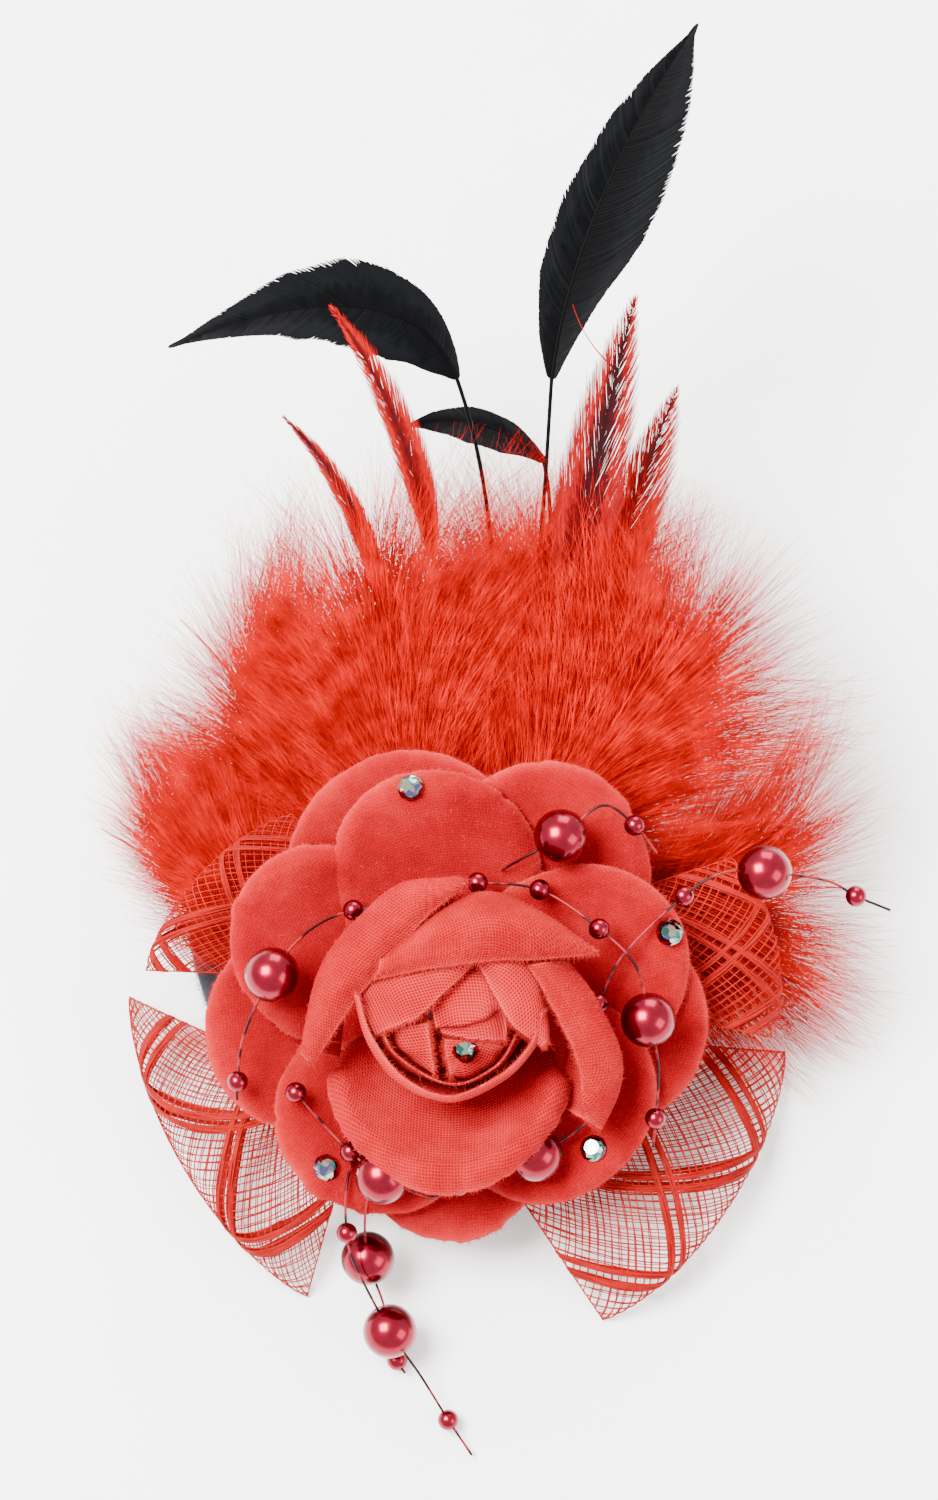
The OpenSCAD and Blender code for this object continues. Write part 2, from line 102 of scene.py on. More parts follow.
def steel(name, colour, roughness):
    made, shader = finish_of(name, roughness, metallic=1.0)
    brushed = add(made, "TexNoise", Vector=place(made, (1, 0.08, 1)), Scale=9000, Detail=4)
    worn = add(made, "TexNoise", Vector=place(made), Scale=260, Detail=6)
    tint = shades(made, worn.outputs["Fac"], (0.3, [c * 0.82 for c in colour]), (0.7, colour))
    join(made, tint, shader.inputs["Base Color"])
    dull = add(made, "MapRange", Value=worn.outputs["Fac"], To_Min=roughness * 0.7, To_Max=roughness * 1.7)
    join(made, dull.outputs["Result"], shader.inputs["Roughness"])
    bump = add(made, "Bump", Height=brushed.outputs["Fac"], Strength=0.12, Distance=0.00002)
    join(made, bump.outputs["Normal"], shader.inputs["Normal"])
    return made


def dress(piece, made):
    piece.data.materials.clear()
    piece.data.materials.append(made)
    return piece


plated_steel = steel("plated_steel", [0.78, 0.79, 0.8], 0.22)
for jaw in ("upper_jaw", "lower_jaw"):
    dress(frame["nodes"][jaw], plated_steel)
dress(frame["nodes"]["hinge_pin"], steel("pin_steel", [0.62, 0.63, 0.65], 0.3))


def mesh_piece(name, points, faces, made, slot, smooth=True):
    """A mesh object from points in metres and four-cornered faces, riding on the flower."""
    points = np.asarray(points, dtype=np.float32).reshape(-1, 3)
    faces = np.asarray(faces, dtype=np.int32).reshape(-1, 4)
    mesh = bpy.data.meshes.new(name)
    mesh.vertices.add(len(points))
    mesh.vertices.foreach_set("co", points.ravel())
    mesh.loops.add(faces.size)
    mesh.loops.foreach_set("vertex_index", faces.ravel())
    mesh.polygons.add(len(faces))
    mesh.polygons.foreach_set("loop_start", np.arange(0, faces.size, 4, dtype=np.int32))
    mesh.polygons.foreach_set("use_smooth", np.full(len(faces), smooth))
    mesh.update()
    mesh.validate()
    piece = bpy.data.objects.new(name, mesh)
    bpy.context.scene.collection.objects.link(piece)
    dress(piece, made)
    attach(piece, "flower")
    return piece


def tubes(paths, radii, sides=3):
    """Points and faces of many round strands: paths is (strands, stations, 3), radii (strands, stations)."""
    paths = np.asarray(paths, float)
    count, stations = paths.shape[:2]
    radii = np.broadcast_to(radii, (count, stations))
    run = np.gradient(paths, axis=1)
    run /= np.linalg.norm(run, axis=2, keepdims=True) + 1e-12
    side = np.cross(run, [0.313, 0.172, 0.934])
    side /= np.linalg.norm(side, axis=2, keepdims=True) + 1e-9
    out = np.cross(side, run)
    turn = 2 * np.pi * np.arange(sides) / sides
    ring = side[:, :, None] * np.cos(turn)[:, None] + out[:, :, None] * np.sin(turn)[:, None]
    points = paths[:, :, None] + ring * radii[:, :, None, None]
    index = np.arange(count * stations * sides).reshape(count, stations, sides)
    a, b = index[:, :-1], index[:, 1:]
    faces = np.stack([a, np.roll(a, -1, 2), np.roll(b, -1, 2), b], axis=-1)
    return points.reshape(-1, 3), faces.reshape(-1, 4)


hinge = np.array(frame["joints"][0]["pos_m"])
wire = 0.8 * MM
coil_radius = 1.85 * MM
coil_half = 2.14 * MM
coil_turns = 4.5
coil_steps = 220
angle = np.radians(90) + np.linspace(0, 2 * np.pi * coil_turns, coil_steps)
coil = np.stack([
    np.linspace(-coil_half, coil_half, coil_steps),
    hinge[1] + coil_radius * np.cos(angle),
    hinge[2] + coil_radius * np.sin(angle),
], axis=1)
tab_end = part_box("upper_jaw")[0][1] + 5 * MM
jaw_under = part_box("upper_jaw")[1][2] - 0.8 * MM
reach = np.linspace(0, 1, 14)[:, None]
upper_foot = np.array([-coil_half, tab_end, jaw_under - 0.45 * MM])
lower_foot = np.array([coil_half, tab_end, 2.1 * MM])
spring_path = np.concatenate([
    upper_foot + (coil[0] - upper_foot) * reach[:-1],
    coil,
    coil[-1] + (lower_foot - coil[-1]) * reach[1:],
])
spring_points, spring_faces = tubes(spring_path[None], np.full((1, len(spring_path)), wire / 2), 14)
spring = mesh_piece(
    "jaw_spring_wire", spring_points, spring_faces, steel("spring_steel", [0.5, 0.51, 0.53], 0.28),
    "spring_steel"
)
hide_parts("jaw_spring")

# ---- Felt disc ----
# A disc of dark pressed wool felt, 2 mm thick, that hides the clip and carries everything else.
# Its cut rim is square and slightly hairy.
rng = np.random.default_rng(7)
felt_low, felt_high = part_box("felt_base")
felt_radius = (felt_high[0] - felt_low[0]) / 2
felt_made, felt_shader = finish_of("wool_felt", 0.95, sheen_weight=0.35, sheen_roughness=0.6)
matted = add(felt_made, "TexNoise", Vector=place(felt_made), Scale=1800, Detail=8, Roughness=0.7)
cloudy = add(felt_made, "TexNoise", Vector=place(felt_made), Scale=160, Detail=3)
blend = add(felt_made, "Math", {"operation": "MULTIPLY_ADD"})
join(felt_made, matted.outputs["Fac"], blend.inputs[0])
blend.inputs[1].default_value = 0.7
join(felt_made, cloudy.outputs["Fac"], blend.inputs[2])
join(
    felt_made,
    shades(felt_made, blend.outputs["Value"], (0.55, (0.003, 0.0035, 0.006)), (1.0, (0.014, 0.017, 0.028))),
    felt_shader.inputs["Base Color"],
)
felt_bump = add(felt_made, "Bump", Height=matted.outputs["Fac"], Strength=0.7, Distance=0.0003)
join(felt_made, felt_bump.outputs["Normal"], felt_shader.inputs["Normal"])
profile = [
    (0.0, 0.0), (0.35, 0.0), (0.7, 0.0), (0.95, 0.0), (0.992, 0.06), (1.0, 0.2), (1.002, 0.5), (1.0, 0.8),
    (0.992, 0.94), (0.95, 1.0), (0.7, 1.0), (0.35, 1.0), (0.0, 1.0),
]
around = 180
felt_turn = 2 * np.pi * np.arange(around) / around
felt_points = []
for share, height in profile:
    wave = 1 + 0.004 * np.sin(5 * felt_turn) * share + 0.003 * np.sin(23 * felt_turn + 1) * share
    ring_radius = felt_radius * share * np.minimum(wave, 1.003)
    felt_points.append(np.stack([
        ring_radius * np.cos(felt_turn),
        ring_radius * np.sin(felt_turn),
        np.full(around, felt_low[2] + height * (felt_high[2] - felt_low[2])),
    ], axis=1))


def lathe_faces(rows, columns, closed=True):
    index = np.arange(rows * columns).reshape(rows, columns)
    a, b = index[:-1], index[1:]
    if closed:
        return np.stack([a, np.roll(a, -1, 1), np.roll(b, -1, 1), b], axis=-1).reshape(-1, 4)
    return np.stack([a[:, :-1], a[:, 1:], b[:, 1:], b[:, :-1]], axis=-1).reshape(-1, 4)


felt = mesh_piece(
    "felt_disc", np.concatenate(felt_points), lathe_faces(len(profile), around), felt_made, "dark_felt"
)
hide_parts("felt_base")
wool_count = 2600
wool_turn = rng.uniform(0, 2 * np.pi, wool_count)
wool_start = np.stack([
    felt_radius * np.cos(wool_turn), felt_radius * np.sin(wool_turn),
    rng.uniform(felt_low[2] + 0.2 * MM, felt_high[2], wool_count),
], axis=1)
wool_way = np.stack([np.cos(wool_turn), np.sin(wool_turn), rng.normal(0, 0.4, wool_count)], axis=1)
wool_way += rng.normal(0, 0.7, (wool_count, 3))
wool_way /= np.linalg.norm(wool_way, axis=1, keepdims=True)
wool_step = np.linspace(-0.2, 1, 4)[None, :, None]
wool_bend = rng.normal(0, 0.25, (wool_count, 1, 3)) * wool_step ** 2
wool_long = rng.uniform(0.3, 0.9, (wool_count, 1, 1)) * MM
wool_paths = wool_start[:, None] + (wool_way[:, None] * wool_step + wool_bend) * wool_long
wool_points, wool_faces = tubes(wool_paths, np.array([[0.03, 0.025, 0.02, 0.008]]) * MM)
mesh_piece("felt_hairs", wool_points, wool_faces, felt_made, "dark_felt")

# ---- Glue and the rose's seat ----
# A lump of hot-melt glue that every root sits in, and the moulded seat the petals are fixed to.
# The glue is milky, glossy and uneven where it ran.
glue_made, glue_shader = finish_of(
    "hot_glue", 0.25, subsurface_weight=0.5, subsurface_scale=0.002, coat_weight=0.3, coat_roughness=0.15
)
ripple = add(glue_made, "TexNoise", Vector=place(glue_made), Scale=300, Detail=5)
join(
    glue_made,
    shades(glue_made, ripple.outputs["Fac"], (0.35, (0.7, 0.62, 0.45)), (0.7, (0.86, 0.8, 0.66))),
    glue_shader.inputs["Base Color"],
)
glue_bump = add(glue_made, "Bump", Height=ripple.outputs["Fac"], Strength=0.5, Distance=0.0004)
join(glue_made, glue_bump.outputs["Normal"], glue_shader.inputs["Normal"])
glue_low, glue_high = (np.array(corner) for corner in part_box("glue_mound"))
glue_middle = (glue_low + glue_high) / 2
glue_shape = [
    (0.0, 0.0), (0.5, 0.0), (0.96, 0.0), (1.0, 0.04), (0.985, 0.18), (0.93, 0.38), (0.82, 0.6), (0.66, 0.79),
    (0.48, 0.91), (0.3, 0.97), (0.12, 1.0), (0.0, 1.0),
]
glue_turn = 2 * np.pi * np.arange(96) / 96
glue_points = []
for share, height in glue_shape:
    lumpy = 1 - 0.03 * share * (1 + np.sin(4 * glue_turn + 2 * height) * np.cos(7 * glue_turn))
    ring_radius = (glue_high[0] - glue_low[0]) / 2 * share * lumpy
    glue_points.append(np.stack([
        glue_middle[0] + ring_radius * np.cos(glue_turn),
        glue_middle[1] + ring_radius * np.sin(glue_turn),
        np.full(96, glue_low[2] + height * (glue_high[2] - glue_low[2])),
    ], axis=1))
glue = mesh_piece("glue_lump", np.concatenate(glue_points), lathe_faces(len(glue_shape), 96), glue_made,
    "glue")
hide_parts("glue_mound")
seat_made, seat_shader = finish_of("moulded_seat", 0.5)
mottled = add(seat_made, "TexNoise", Vector=place(seat_made), Scale=700, Detail=5)
join(
    seat_made,
    shades(seat_made, mottled.outputs["Fac"], (0.3, (0.12, 0.001, 0.002)), (0.7, (0.18, 0.002, 0.003))),
    seat_shader.inputs["Base Color"],
)
seat_bump = add(seat_made, "Bump", Height=mottled.outputs["Fac"], Strength=0.3, Distance=0.0001)
join(seat_made, seat_bump.outputs["Normal"], seat_shader.inputs["Normal"])
dress(frame["nodes"]["rose_stem"], seat_made)

# ---- Mesh leaves ----
# Four leaves of sinamay, a stiff open cloth of dyed banana fibre with pairs of thick threads in
# checks. Each is one strip cut on the slant, folded over at its outer edge, puffed and drawn in at
# its root, so every thread meets the fold as a V.
lean = math.radians(20)
rose_middle = np.array([12.5, -14.0, 22.0])


def head(spot):
    """Metres in the row frame for a point in the leaning flower head's own millimetres."""
    spot = np.asarray(spot, float)
    right, up, out = spot[..., 0], spot[..., 1], spot[..., 2]
    return MM * np.stack([
        rose_middle[0] + right,
        rose_middle[1] + up * math.cos(lean) - out * math.sin(lean),
        rose_middle[2] + up * math.sin(lean) + out * math.cos(lean),
    ], axis=-1)


def depth_at(up, height):
    return (height - rose_middle[2] - up * math.sin(lean)) / math.cos(lean)


def gather(parts):
    """One list of points and one of faces from many small ones."""
    starts = np.cumsum([0] + [len(points) for points, _ in parts[:-1]])
    return (np.concatenate([points for points, _ in parts]),
            np.concatenate([faces + start for (_, faces), start in zip(parts, starts)]))


def leaf_point(leaf, turn, along):
    """A point in head millimetres on a folded leaf: turn 0 to pi goes out and back, along runs tip to tip."""
    tip_a, tip_b = np.array(leaf["tips"][0]), np.array(leaf["tips"][1])
    root_a, root_b = np.array(leaf["roots"][0]), np.array(leaf["roots"][1])
    run = tip_b - tip_a
    outward = np.array([run[1], -run[0]]) / np.linalg.norm(run)
    sense = 1 if outward @ (tip_a - root_a) > 0 else -1
    arch = np.clip(4 * along * (1 - along), 0, 1)
    fold = tip_a + run * along[..., None] + outward * sense * leaf["bulge"] * (arch ** 0.8)[..., None]
    root = root_a + (root_b - root_a) * along[..., None]
    lift = 0.3 + (leaf["puff"] - 0.3) * arch ** 0.7
    low_a, low_b = leaf["tip_heights"]
    fold_height = low_a + (low_b - low_a) * along + 0.4 + leaf["arch"] * arch ** 0.8
    out = np.sin(turn)
    opening = 3.5 * lift * out ** 2 * np.sqrt(np.clip(1 - out, 0, 1)) + 0.6 * (1 - out)
    spot = root + (fold - root) * out[..., None]
    height = leaf["root_height"] + (fold_height - leaf["root_height"]) * out ** leaf["drop"]
    height = height + np.where(turn < np.pi / 2, opening, -opening)
    return np.concatenate([spot, depth_at(spot[..., 1], height)[..., None]], axis=-1)


def straw(name, dark, light):
    made, shader = finish_of(name, 0.5, specular_ior_level=0.08)
    fibre = add(made, "TexNoise", Vector=place(made), Scale=2600, Detail=5)
    patch = add(made, "TexNoise", Vector=place(made), Scale=170, Detail=3)
    both = add(made, "Mix", {"data_type": "FLOAT"})
    both.inputs[0].default_value = 0.5
    join(made, fibre.outputs["Fac"], both.inputs[2])
    join(made, patch.outputs["Fac"], both.inputs[3])
    join(made, shades(made, both.outputs[0], (0.34, dark), (0.64, light)), shader.inputs["Base Color"])
    bump = add(made, "Bump", Height=fibre.outputs["Fac"], Strength=0.4, Distance=0.00005)
    join(made, bump.outputs["Normal"], shader.inputs["Normal"])
    return made


fine_straw = straw("fine_straw", (0.2, 0.001, 0.001), (0.36, 0.004, 0.002))
thick_straw = straw("thick_straw", (0.15, 0.0006, 0.0006), (0.28, 0.0015, 0.001))
leaves = {
    "leaf_left_low": {
        "tips": ((-50, -0.7), (-21.9, -44.8)), "roots": ((-33, -7), (-14, -16)), "bulge": 5.5, "puff": 4,
        "tip_heights": (0, 0), "arch": 6, "root_height": 13.1, "drop": 1.5, "checks": (0.24, 0.74),
    },
    "leaf_right_low": {
        "tips": ((21.8, -48.1), (50.3, -8.9)), "roots": ((-2, -12), (10, -5)), "bulge": 5.5, "puff": 4,
        "tip_heights": (0, 0), "arch": 6, "root_height": 13.0, "drop": 1.5, "checks": (0.24, 0.7),
    },
    "leaf_left_high": {
        "tips": ((-24, 27.5), (-45.9, 4.1)), "roots": ((-9, 10), (-13, 3)), "bulge": 4, "puff": 2.4,
        "tip_heights": (29, 21), "arch": 1, "root_height": 16.4, "drop": 0.8, "checks": (0.3, 0.86),
    },
    "leaf_right_high": {
        "tips": ((46.8, -5.8), (41, 21)), "roots": ((6, 3), (5, 9)), "bulge": 4, "puff": 2.4,
        "tip_heights": (18, 24.5), "arch": 1, "root_height": 16.4, "drop": 0.8, "checks": (0.2, 0.72),
    },
}
thread_gap = 1.22
for leaf_number, (leaf_name, leaf) in enumerate(leaves.items()):
    rng = np.random.default_rng(40 + leaf_number)
    fold_length = math.dist(*leaf["tips"]) * 1.08
    turns = np.linspace(0.012, np.pi - 0.012, 240)
    middle = leaf_point(leaf, turns, np.full(240, 0.5))
    travelled = np.concatenate([[0], np.cumsum(np.linalg.norm(np.diff(middle, axis=0), axis=1))])
    strip_length = travelled[-1]
    phase = rng.uniform(0, 6.28, 4)

    def on_leaf(across, along, rise):
        """The folded cloth, with the slow waves of stiff mesh that has been handled."""
        turn = np.interp(across, travelled, turns)
        share = np.clip(along / fold_length, 0.002, 0.998)
        spot = leaf_point(leaf, turn, share)
        spot[:, 2] += 0.3 * np.sin(7 * share + phase[0]) * np.sin(1.7 * turn + phase[1]) * np.sin(turn) + rise
        return spot

    def slanted(start, way, rise_of, radius, sides):
        """One thread on the slant, starting at a place along the strip's near edge."""
        first = max(0.0, -start) if way > 0 else max(0.0, start - fold_length)
        last = min(strip_length, fold_length - start if way > 0 else start)
        if last - first < 2.5:
            return None
        across = np.linspace(first, last, max(int((last - first) / 0.6), 5))
        along = start + way * across
        along = along + 0.16 * np.sin(across * 0.35 + start) + 0.05 * np.sin(across * 1.3 + 3 * start)
        return tubes(head(on_leaf(across, along, rise_of(across)))[None], radius * MM, sides)

    threads, bundles = [], []
    pitch = thread_gap * math.sqrt(2)
    for way in (1, -1):
        low_start = -strip_length if way > 0 else 0
        for step in range(int((fold_length + strip_length) / pitch) + 1):
            start = low_start + step * pitch + rng.normal(0, 0.1)
            weave = lambda across: 0.085 * way * np.sin(np.pi * (across / pitch + step))
            made = slanted(start, way, weave, 0.1 * rng.uniform(0.75, 1.2), 4)
            if made:
                threads.append(made)
        for check in leaf["checks"]:
            for pair in (-1.5, 1.5):
                for strand in range(4):
                    drift = rng.uniform(0, 6.28)
                    start = check * fold_length - way * strip_length / 2 + pair + (strand - 1.5) * 0.3
                    wander = lambda across: 0.2 + 0.14 * np.sin(across * 0.7 + drift)
                    made = slanted(start, way, wander, 0.17 * rng.uniform(0.8, 1.2), 5)
                    if made:
                        bundles.append(made)
    for share in (0.004, 0.996):
        across = np.linspace(0, strip_length, 90)
        edge = on_leaf(across, np.full(90, share * fold_length), 0)
        threads.append(tubes(head(edge)[None], 0.1 * MM, 4))
    checks_piece = mesh_piece(leaf_name + "_thick_threads", *gather(bundles), thick_straw, "mesh_cloth")
    piece = mesh_piece(leaf_name + "_mesh", *gather(threads), fine_straw, "mesh_cloth")
    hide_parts(leaf_name)

# ---- Marabou ----
# Six short plumes of dyed turkey down fanned behind the rose. Each is a thin shaft with long, soft,
# curling barbs that cling in wisps, so that together they read as one deep red cloud.


def down(name, dark, middle, light):
    made, shader = finish_of(name, 1.0, specular_ior_level=0.0)
    drift = add(made, "TexNoise", Vector=place(made), Scale=260, Detail=5, Roughness=0.65)
    join(made, shades(made, drift.outputs["Fac"], (0.3, dark), (0.5, middle), (0.68, light)),
         shader.inputs["Base Color"])
    fine = add(made, "TexNoise", Vector=place(made), Scale=5000, Detail=2)
    bump = add(made, "Bump", Height=fine.outputs["Fac"], Strength=0.3, Distance=0.00003)
    join(made, bump.outputs["Normal"], shader.inputs["Normal"])
    return made


def bezier(corners, t):
    corners = np.asarray(corners, float)
    t = np.asarray(t, float)[..., None]
    return ((1 - t) ** 3 * corners[0] + 3 * (1 - t) ** 2 * t * corners[1]
            + 3 * (1 - t) * t * t * corners[2] + t ** 3 * corners[3])


def ribbons(paths, widths, across):
    """Points and faces of many flat strands: paths (strands, stations, 3), widths the same less one."""
    count, stations = paths.shape[:2]
    run = np.gradient(paths, axis=1)
    side = np.cross(run, across[:, None])
    side /= np.linalg.norm(side, axis=2, keepdims=True) + 1e-12
    half = side * (np.broadcast_to(widths, (count, stations)) / 2)[..., None]
    points = np.stack([paths + half, paths - half], axis=2)
    index = np.arange(count * stations * 2).reshape(count, stations, 2)
    faces = np.stack([index[:, :-1, 0], index[:, :-1, 1], index[:, 1:, 1], index[:, 1:, 0]], axis=-1)
    return points.reshape(-1, 3), faces.reshape(-1, 4)


red_down = down("red_down", (0.2, 0.0003, 0.0003), (0.4, 0.0006, 0.0006), (0.62, 0.003, 0.0024))
cloud_edge = np.array([
    (-16, 52), (-8, 60), (3, 63), (14, 62), (29, 67), (45, 73), (54, 79), (64, 80), (78, 76), (87, 77),
    (104, 77),
    (115, 71), (126, 66), (135, 63), (146, 63), (155, 60), (163, 50), (172, 40),
], float)
cloud_left, cloud_right = -57, 71
plumes = {
    "marabou_1": ([(-14, 6, -10.4), (-24, 9, -8.8), (-40, 17, -11), (-55, 26, -13)], 137, 170),
    "marabou_2": ([(-9, 11, -12.6), (-21, 31, -17), (-30, 46, -17), (-43, 58, -16)], 110, 142),
    "marabou_3": ([(-3.5, 9, -10.6), (-8, 36, -6.6), (-11, 54, -6.4), (-15, 66, -6.4)], 80, 122),
    "marabou_4": ([(2, 12.5, -14), (10, 40, -19), (13, 54, -19), (17, 72, -19)], 62, 96),
    "marabou_5": ([(3, 9, -9.8), (16, 33, -6.4), (32, 46, -7), (46, 58, -7)], 34, 80),
    "marabou_6": ([(14, 6, -12), (26, 10, -12.6), (44, 18, -12.8), (60, 16, -13)], -14, 38),
}
for plume_number, (plume_name, (shaft, first_angle, last_angle)) in enumerate(plumes.items()):
    rng = np.random.default_rng(80 + plume_number)
    wisps, per_wisp = 620, 18
    barbs = wisps * per_wisp
    wisp_angle = np.repeat(rng.uniform(first_angle - 3, last_angle + 3, wisps), per_wisp)
    wisp_reach = np.repeat(1.06 - 0.62 * rng.random(wisps) ** 1.05, per_wisp)
    tip_angle = wisp_angle + rng.normal(0, 1.6, barbs)
    edge = np.interp(tip_angle, cloud_edge[:, 0], cloud_edge[:, 1])
    loose_end = np.where(rng.random(barbs) < 0.1, rng.uniform(0.02, 0.14, barbs), 0)
    tip_radius = edge * (wisp_reach + rng.normal(0, 0.045, barbs) + loose_end)
    tip_radius = np.clip(tip_radius, 24, 86)
    sideways = np.cos(np.radians(tip_angle))
    side_room = np.where(sideways < 0, -cloud_left, cloud_right) - rng.uniform(0, 9, barbs)
    tip_radius = np.minimum(tip_radius, side_room / np.maximum(np.abs(sideways), 0.01))
    shaft_line = bezier(shaft, np.linspace(0, 1, 80))
    shaft_radius = np.hypot(shaft_line[:, 0], shaft_line[:, 1])
    long = rng.uniform(32, 62, barbs)
    from_radius = np.clip(tip_radius - long, shaft_radius[2], shaft_radius[-3])
    start_at = np.interp(from_radius + rng.normal(0, 1.5, barbs), shaft_radius, np.linspace(0, 1, 80))
    start = bezier(shaft, start_at)
    run = bezier(shaft, np.clip(start_at + 0.02, 0, 1)) - bezier(shaft, np.clip(start_at - 0.02, 0, 1))
    run /= np.linalg.norm(run, axis=1, keepdims=True)
    shaft_depth = np.interp(tip_radius, shaft_radius, shaft_line[:, 2])
    depth = shaft_depth + np.repeat(rng.normal(0, 3.2, wisps), per_wisp)
    depth = np.clip(depth + rng.normal(0, 0.7, barbs), -24, -3.2)
    tip = np.stack([
        tip_radius * np.cos(np.radians(tip_angle)), tip_radius * np.sin(np.radians(tip_angle)), depth
    ], axis=1)
    gone = np.linalg.norm(tip - start, axis=1, keepdims=True)
    bow = start + run * gone * 0.5 + rng.normal(0, 1, (barbs, 3)) * [2.2, 2.2, 1.2]
    bow_wisp = np.repeat(rng.normal(0, 1, (wisps, 3)), per_wisp, axis=0) * [2.4, 2.4, 1.2]
    near_tip = tip - (tip - start) * 0.25 + bow_wisp
    t = np.linspace(0, 1, 8)[None, :, None]
    corners = [part[:, None] for part in (start, bow, near_tip, tip)]
    paths = ((1 - t) ** 3 * corners[0] + 3 * (1 - t) ** 2 * t * corners[1] + 3 * (1 - t) * t * t * corners[2]
             + t ** 3 * corners[3])
    shake = rng.normal(0, 0.3, (barbs, 1, 3)) * np.sin(8 * t + rng.uniform(0, 6.28, (barbs, 1, 1)))
    paths = paths + shake * t
    widths = 0.14 * (1 - 0.88 * t[..., 0] ** 1.2) * rng.uniform(0.6, 1.3, (barbs, 1))
    points, faces = ribbons(head(paths), widths * MM, rng.normal(0, 1, (barbs, 3)))
    shaft_path = head(bezier(shaft, np.linspace(0, 0.97, 30)))
    shaft_part = tubes(shaft_path[None], np.linspace(0.45, 0.1, 30)[None] * MM, 6)
    piece = mesh_piece(plume_name + "_plume", *gather([(points, faces), shaft_part]), red_down, "red_marabou")
    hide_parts(plume_name)

# ---- Black feathers ----
# Goose feathers trimmed to leaf shapes on long stripped quills, dyed black. The vane is made of close
# flat barbs that split in places. A cool grey sheen along their length and towards the barb ends is
# painted into the colour.


def paint(piece, name, values):
    """A number at every point of a piece, for its material to use."""
    layer = piece.data.attributes.new(name, "FLOAT", "POINT")
    layer.data.foreach_set("value", np.asarray(values, dtype=np.float32))


def feather(name, node, quill, rachis, left, right, made, slot, gap=0.16, splits=(), slant=1.3, loose=0.0,
            width=0.6, cup=0.0, seed=1, shaft=0.32, extra=()):
    """A feather in head millimetres: quill and vane routes, and the vane's half widths where barbs end."""
    rng = np.random.default_rng(seed)
    length = np.linalg.norm(np.diff(bezier(rachis, np.linspace(0, 1, 60)), axis=0), axis=1).sum()
    count = int(length * 1.05 / gap)
    stations = 8
    s = np.linspace(0, 1, stations)
    parts, shares = [], []
    for hand, outline_rows in ((1, left), (-1, right)):
        rows = np.array(outline_rows, float)
        ends_at = np.linspace(0.01, 1.03, count) + rng.normal(0, 0.25 / count, count)
        half = np.interp(ends_at, rows[:, 0], rows[:, 1])
        pull = 0.0
        for split_at, depth in splits:
            past_split = ends_at - split_at
            pull = pull + depth * np.tanh(past_split * 60) * np.exp(-(past_split * 11) ** 2)
        root_at = np.clip(ends_at - slant * half / length, 0, 0.985)
        start = bezier(rachis, root_at)
        beyond = bezier(rachis, np.clip(ends_at + pull * (1 if hand > 0 else 0.7), 0, 1))
        run = bezier(rachis, np.clip(ends_at, 0.02, 1)) - bezier(rachis, np.clip(ends_at, 0.02, 1) - 0.02)
        run /= np.linalg.norm(run, axis=1, keepdims=True)
        beyond = beyond + run * (np.clip(ends_at - 1, 0, 1) * length)[:, None]
        side = np.cross([0, 0, 1.0], run)
        side /= np.linalg.norm(side, axis=1, keepdims=True)
        ragged = 1 + rng.normal(0, 0.012 + loose * 0.2, count)
        ends = beyond + side * (hand * half * ragged)[:, None]
        ends[:, 2] -= cup * (half / 6) ** 2
        ends += rng.normal(0, loose, (count, 3)) * [1, 1, 0.5]
        bow = run * (0.16 * half)[:, None]
        path = (start[:, None] * (1 - s[:, None]) + ends[:, None] * s[:, None]
                - bow[:, None] * np.sin(np.pi * s)[:, None])
        path[:, :, 2] += 0.05 * np.sin(np.pi * s) + 0.025 * (np.arange(count) % 3)[:, None]
        widths = width * (1 - 0.82 * s ** 5)[None] * rng.uniform(0.85, 1.15, (count, 1))
        tipped = np.tile([[0.05, 0.1, 1.0]], (count, 1)) + rng.normal(0, 0.08, (count, 3))
        points, faces = ribbons(path, widths, tipped)
        parts.append((head(points), faces))
        shares.append(np.repeat(np.tile(s, count), 2))
    quill_route = np.concatenate([
        bezier(quill, np.linspace(0, 1, 30)), bezier(rachis, np.linspace(0.03, 0.97, 40)),
    ])
    radii = np.concatenate([np.full(30, shaft), np.linspace(shaft, 0.07, 40)])
    parts.append(tubes(head(quill_route)[None], radii[None] * MM, 8))
    shares.append(np.zeros(len(parts[-1][0])))
    for curl, radius in extra:
        curl_path = head(bezier(curl, np.linspace(0, 1, 24)))
        parts.append(tubes(curl_path[None], np.linspace(radius, 0.04, 24)[None] * MM, 5))
        shares.append(np.full(len(parts[-1][0]), 0.8))
    piece = mesh_piece(name, *gather(parts), made, slot)
    paint(piece, "barb_share", np.concatenate(shares))
    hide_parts(node)
    return piece


def vane_finish(name, roughness, rachis_colour, middle, rim, grain=900, **sockets):
    made, shader = finish_of(name, roughness, **sockets)
    share = add(made, "Attribute", {"attribute_name": "barb_share"})
    streak = add(made, "TexNoise", Vector=place(made, (1, 0.3, 1)), Scale=grain, Detail=5)
    both = add(made, "Math", {"operation": "MULTIPLY_ADD"})
    join(made, streak.outputs["Fac"], both.inputs[0])
    both.inputs[1].default_value = 0.7
    join(made, share.outputs["Fac"], both.inputs[2])
    # From the shaft out to the barb ends the colour runs dark to light. On the black vane the light end and
    # the streaks are painted grey sheen; on the hackles this run is their dye over a dark middle.
    join(made, shades(made, both.outputs["Value"], (0.2, rachis_colour), (0.75, middle), (1.0, rim)),
         shader.inputs["Base Color"])
    dull = add(made, "MapRange", Value=streak.outputs["Fac"], To_Min=roughness * 0.7, To_Max=roughness * 1.5)
    join(made, dull.outputs["Result"], shader.inputs["Roughness"])
    bump = add(made, "Bump", Height=streak.outputs["Fac"], Strength=0.3, Distance=0.00003)
    join(made, bump.outputs["Normal"], shader.inputs["Normal"])
    return made
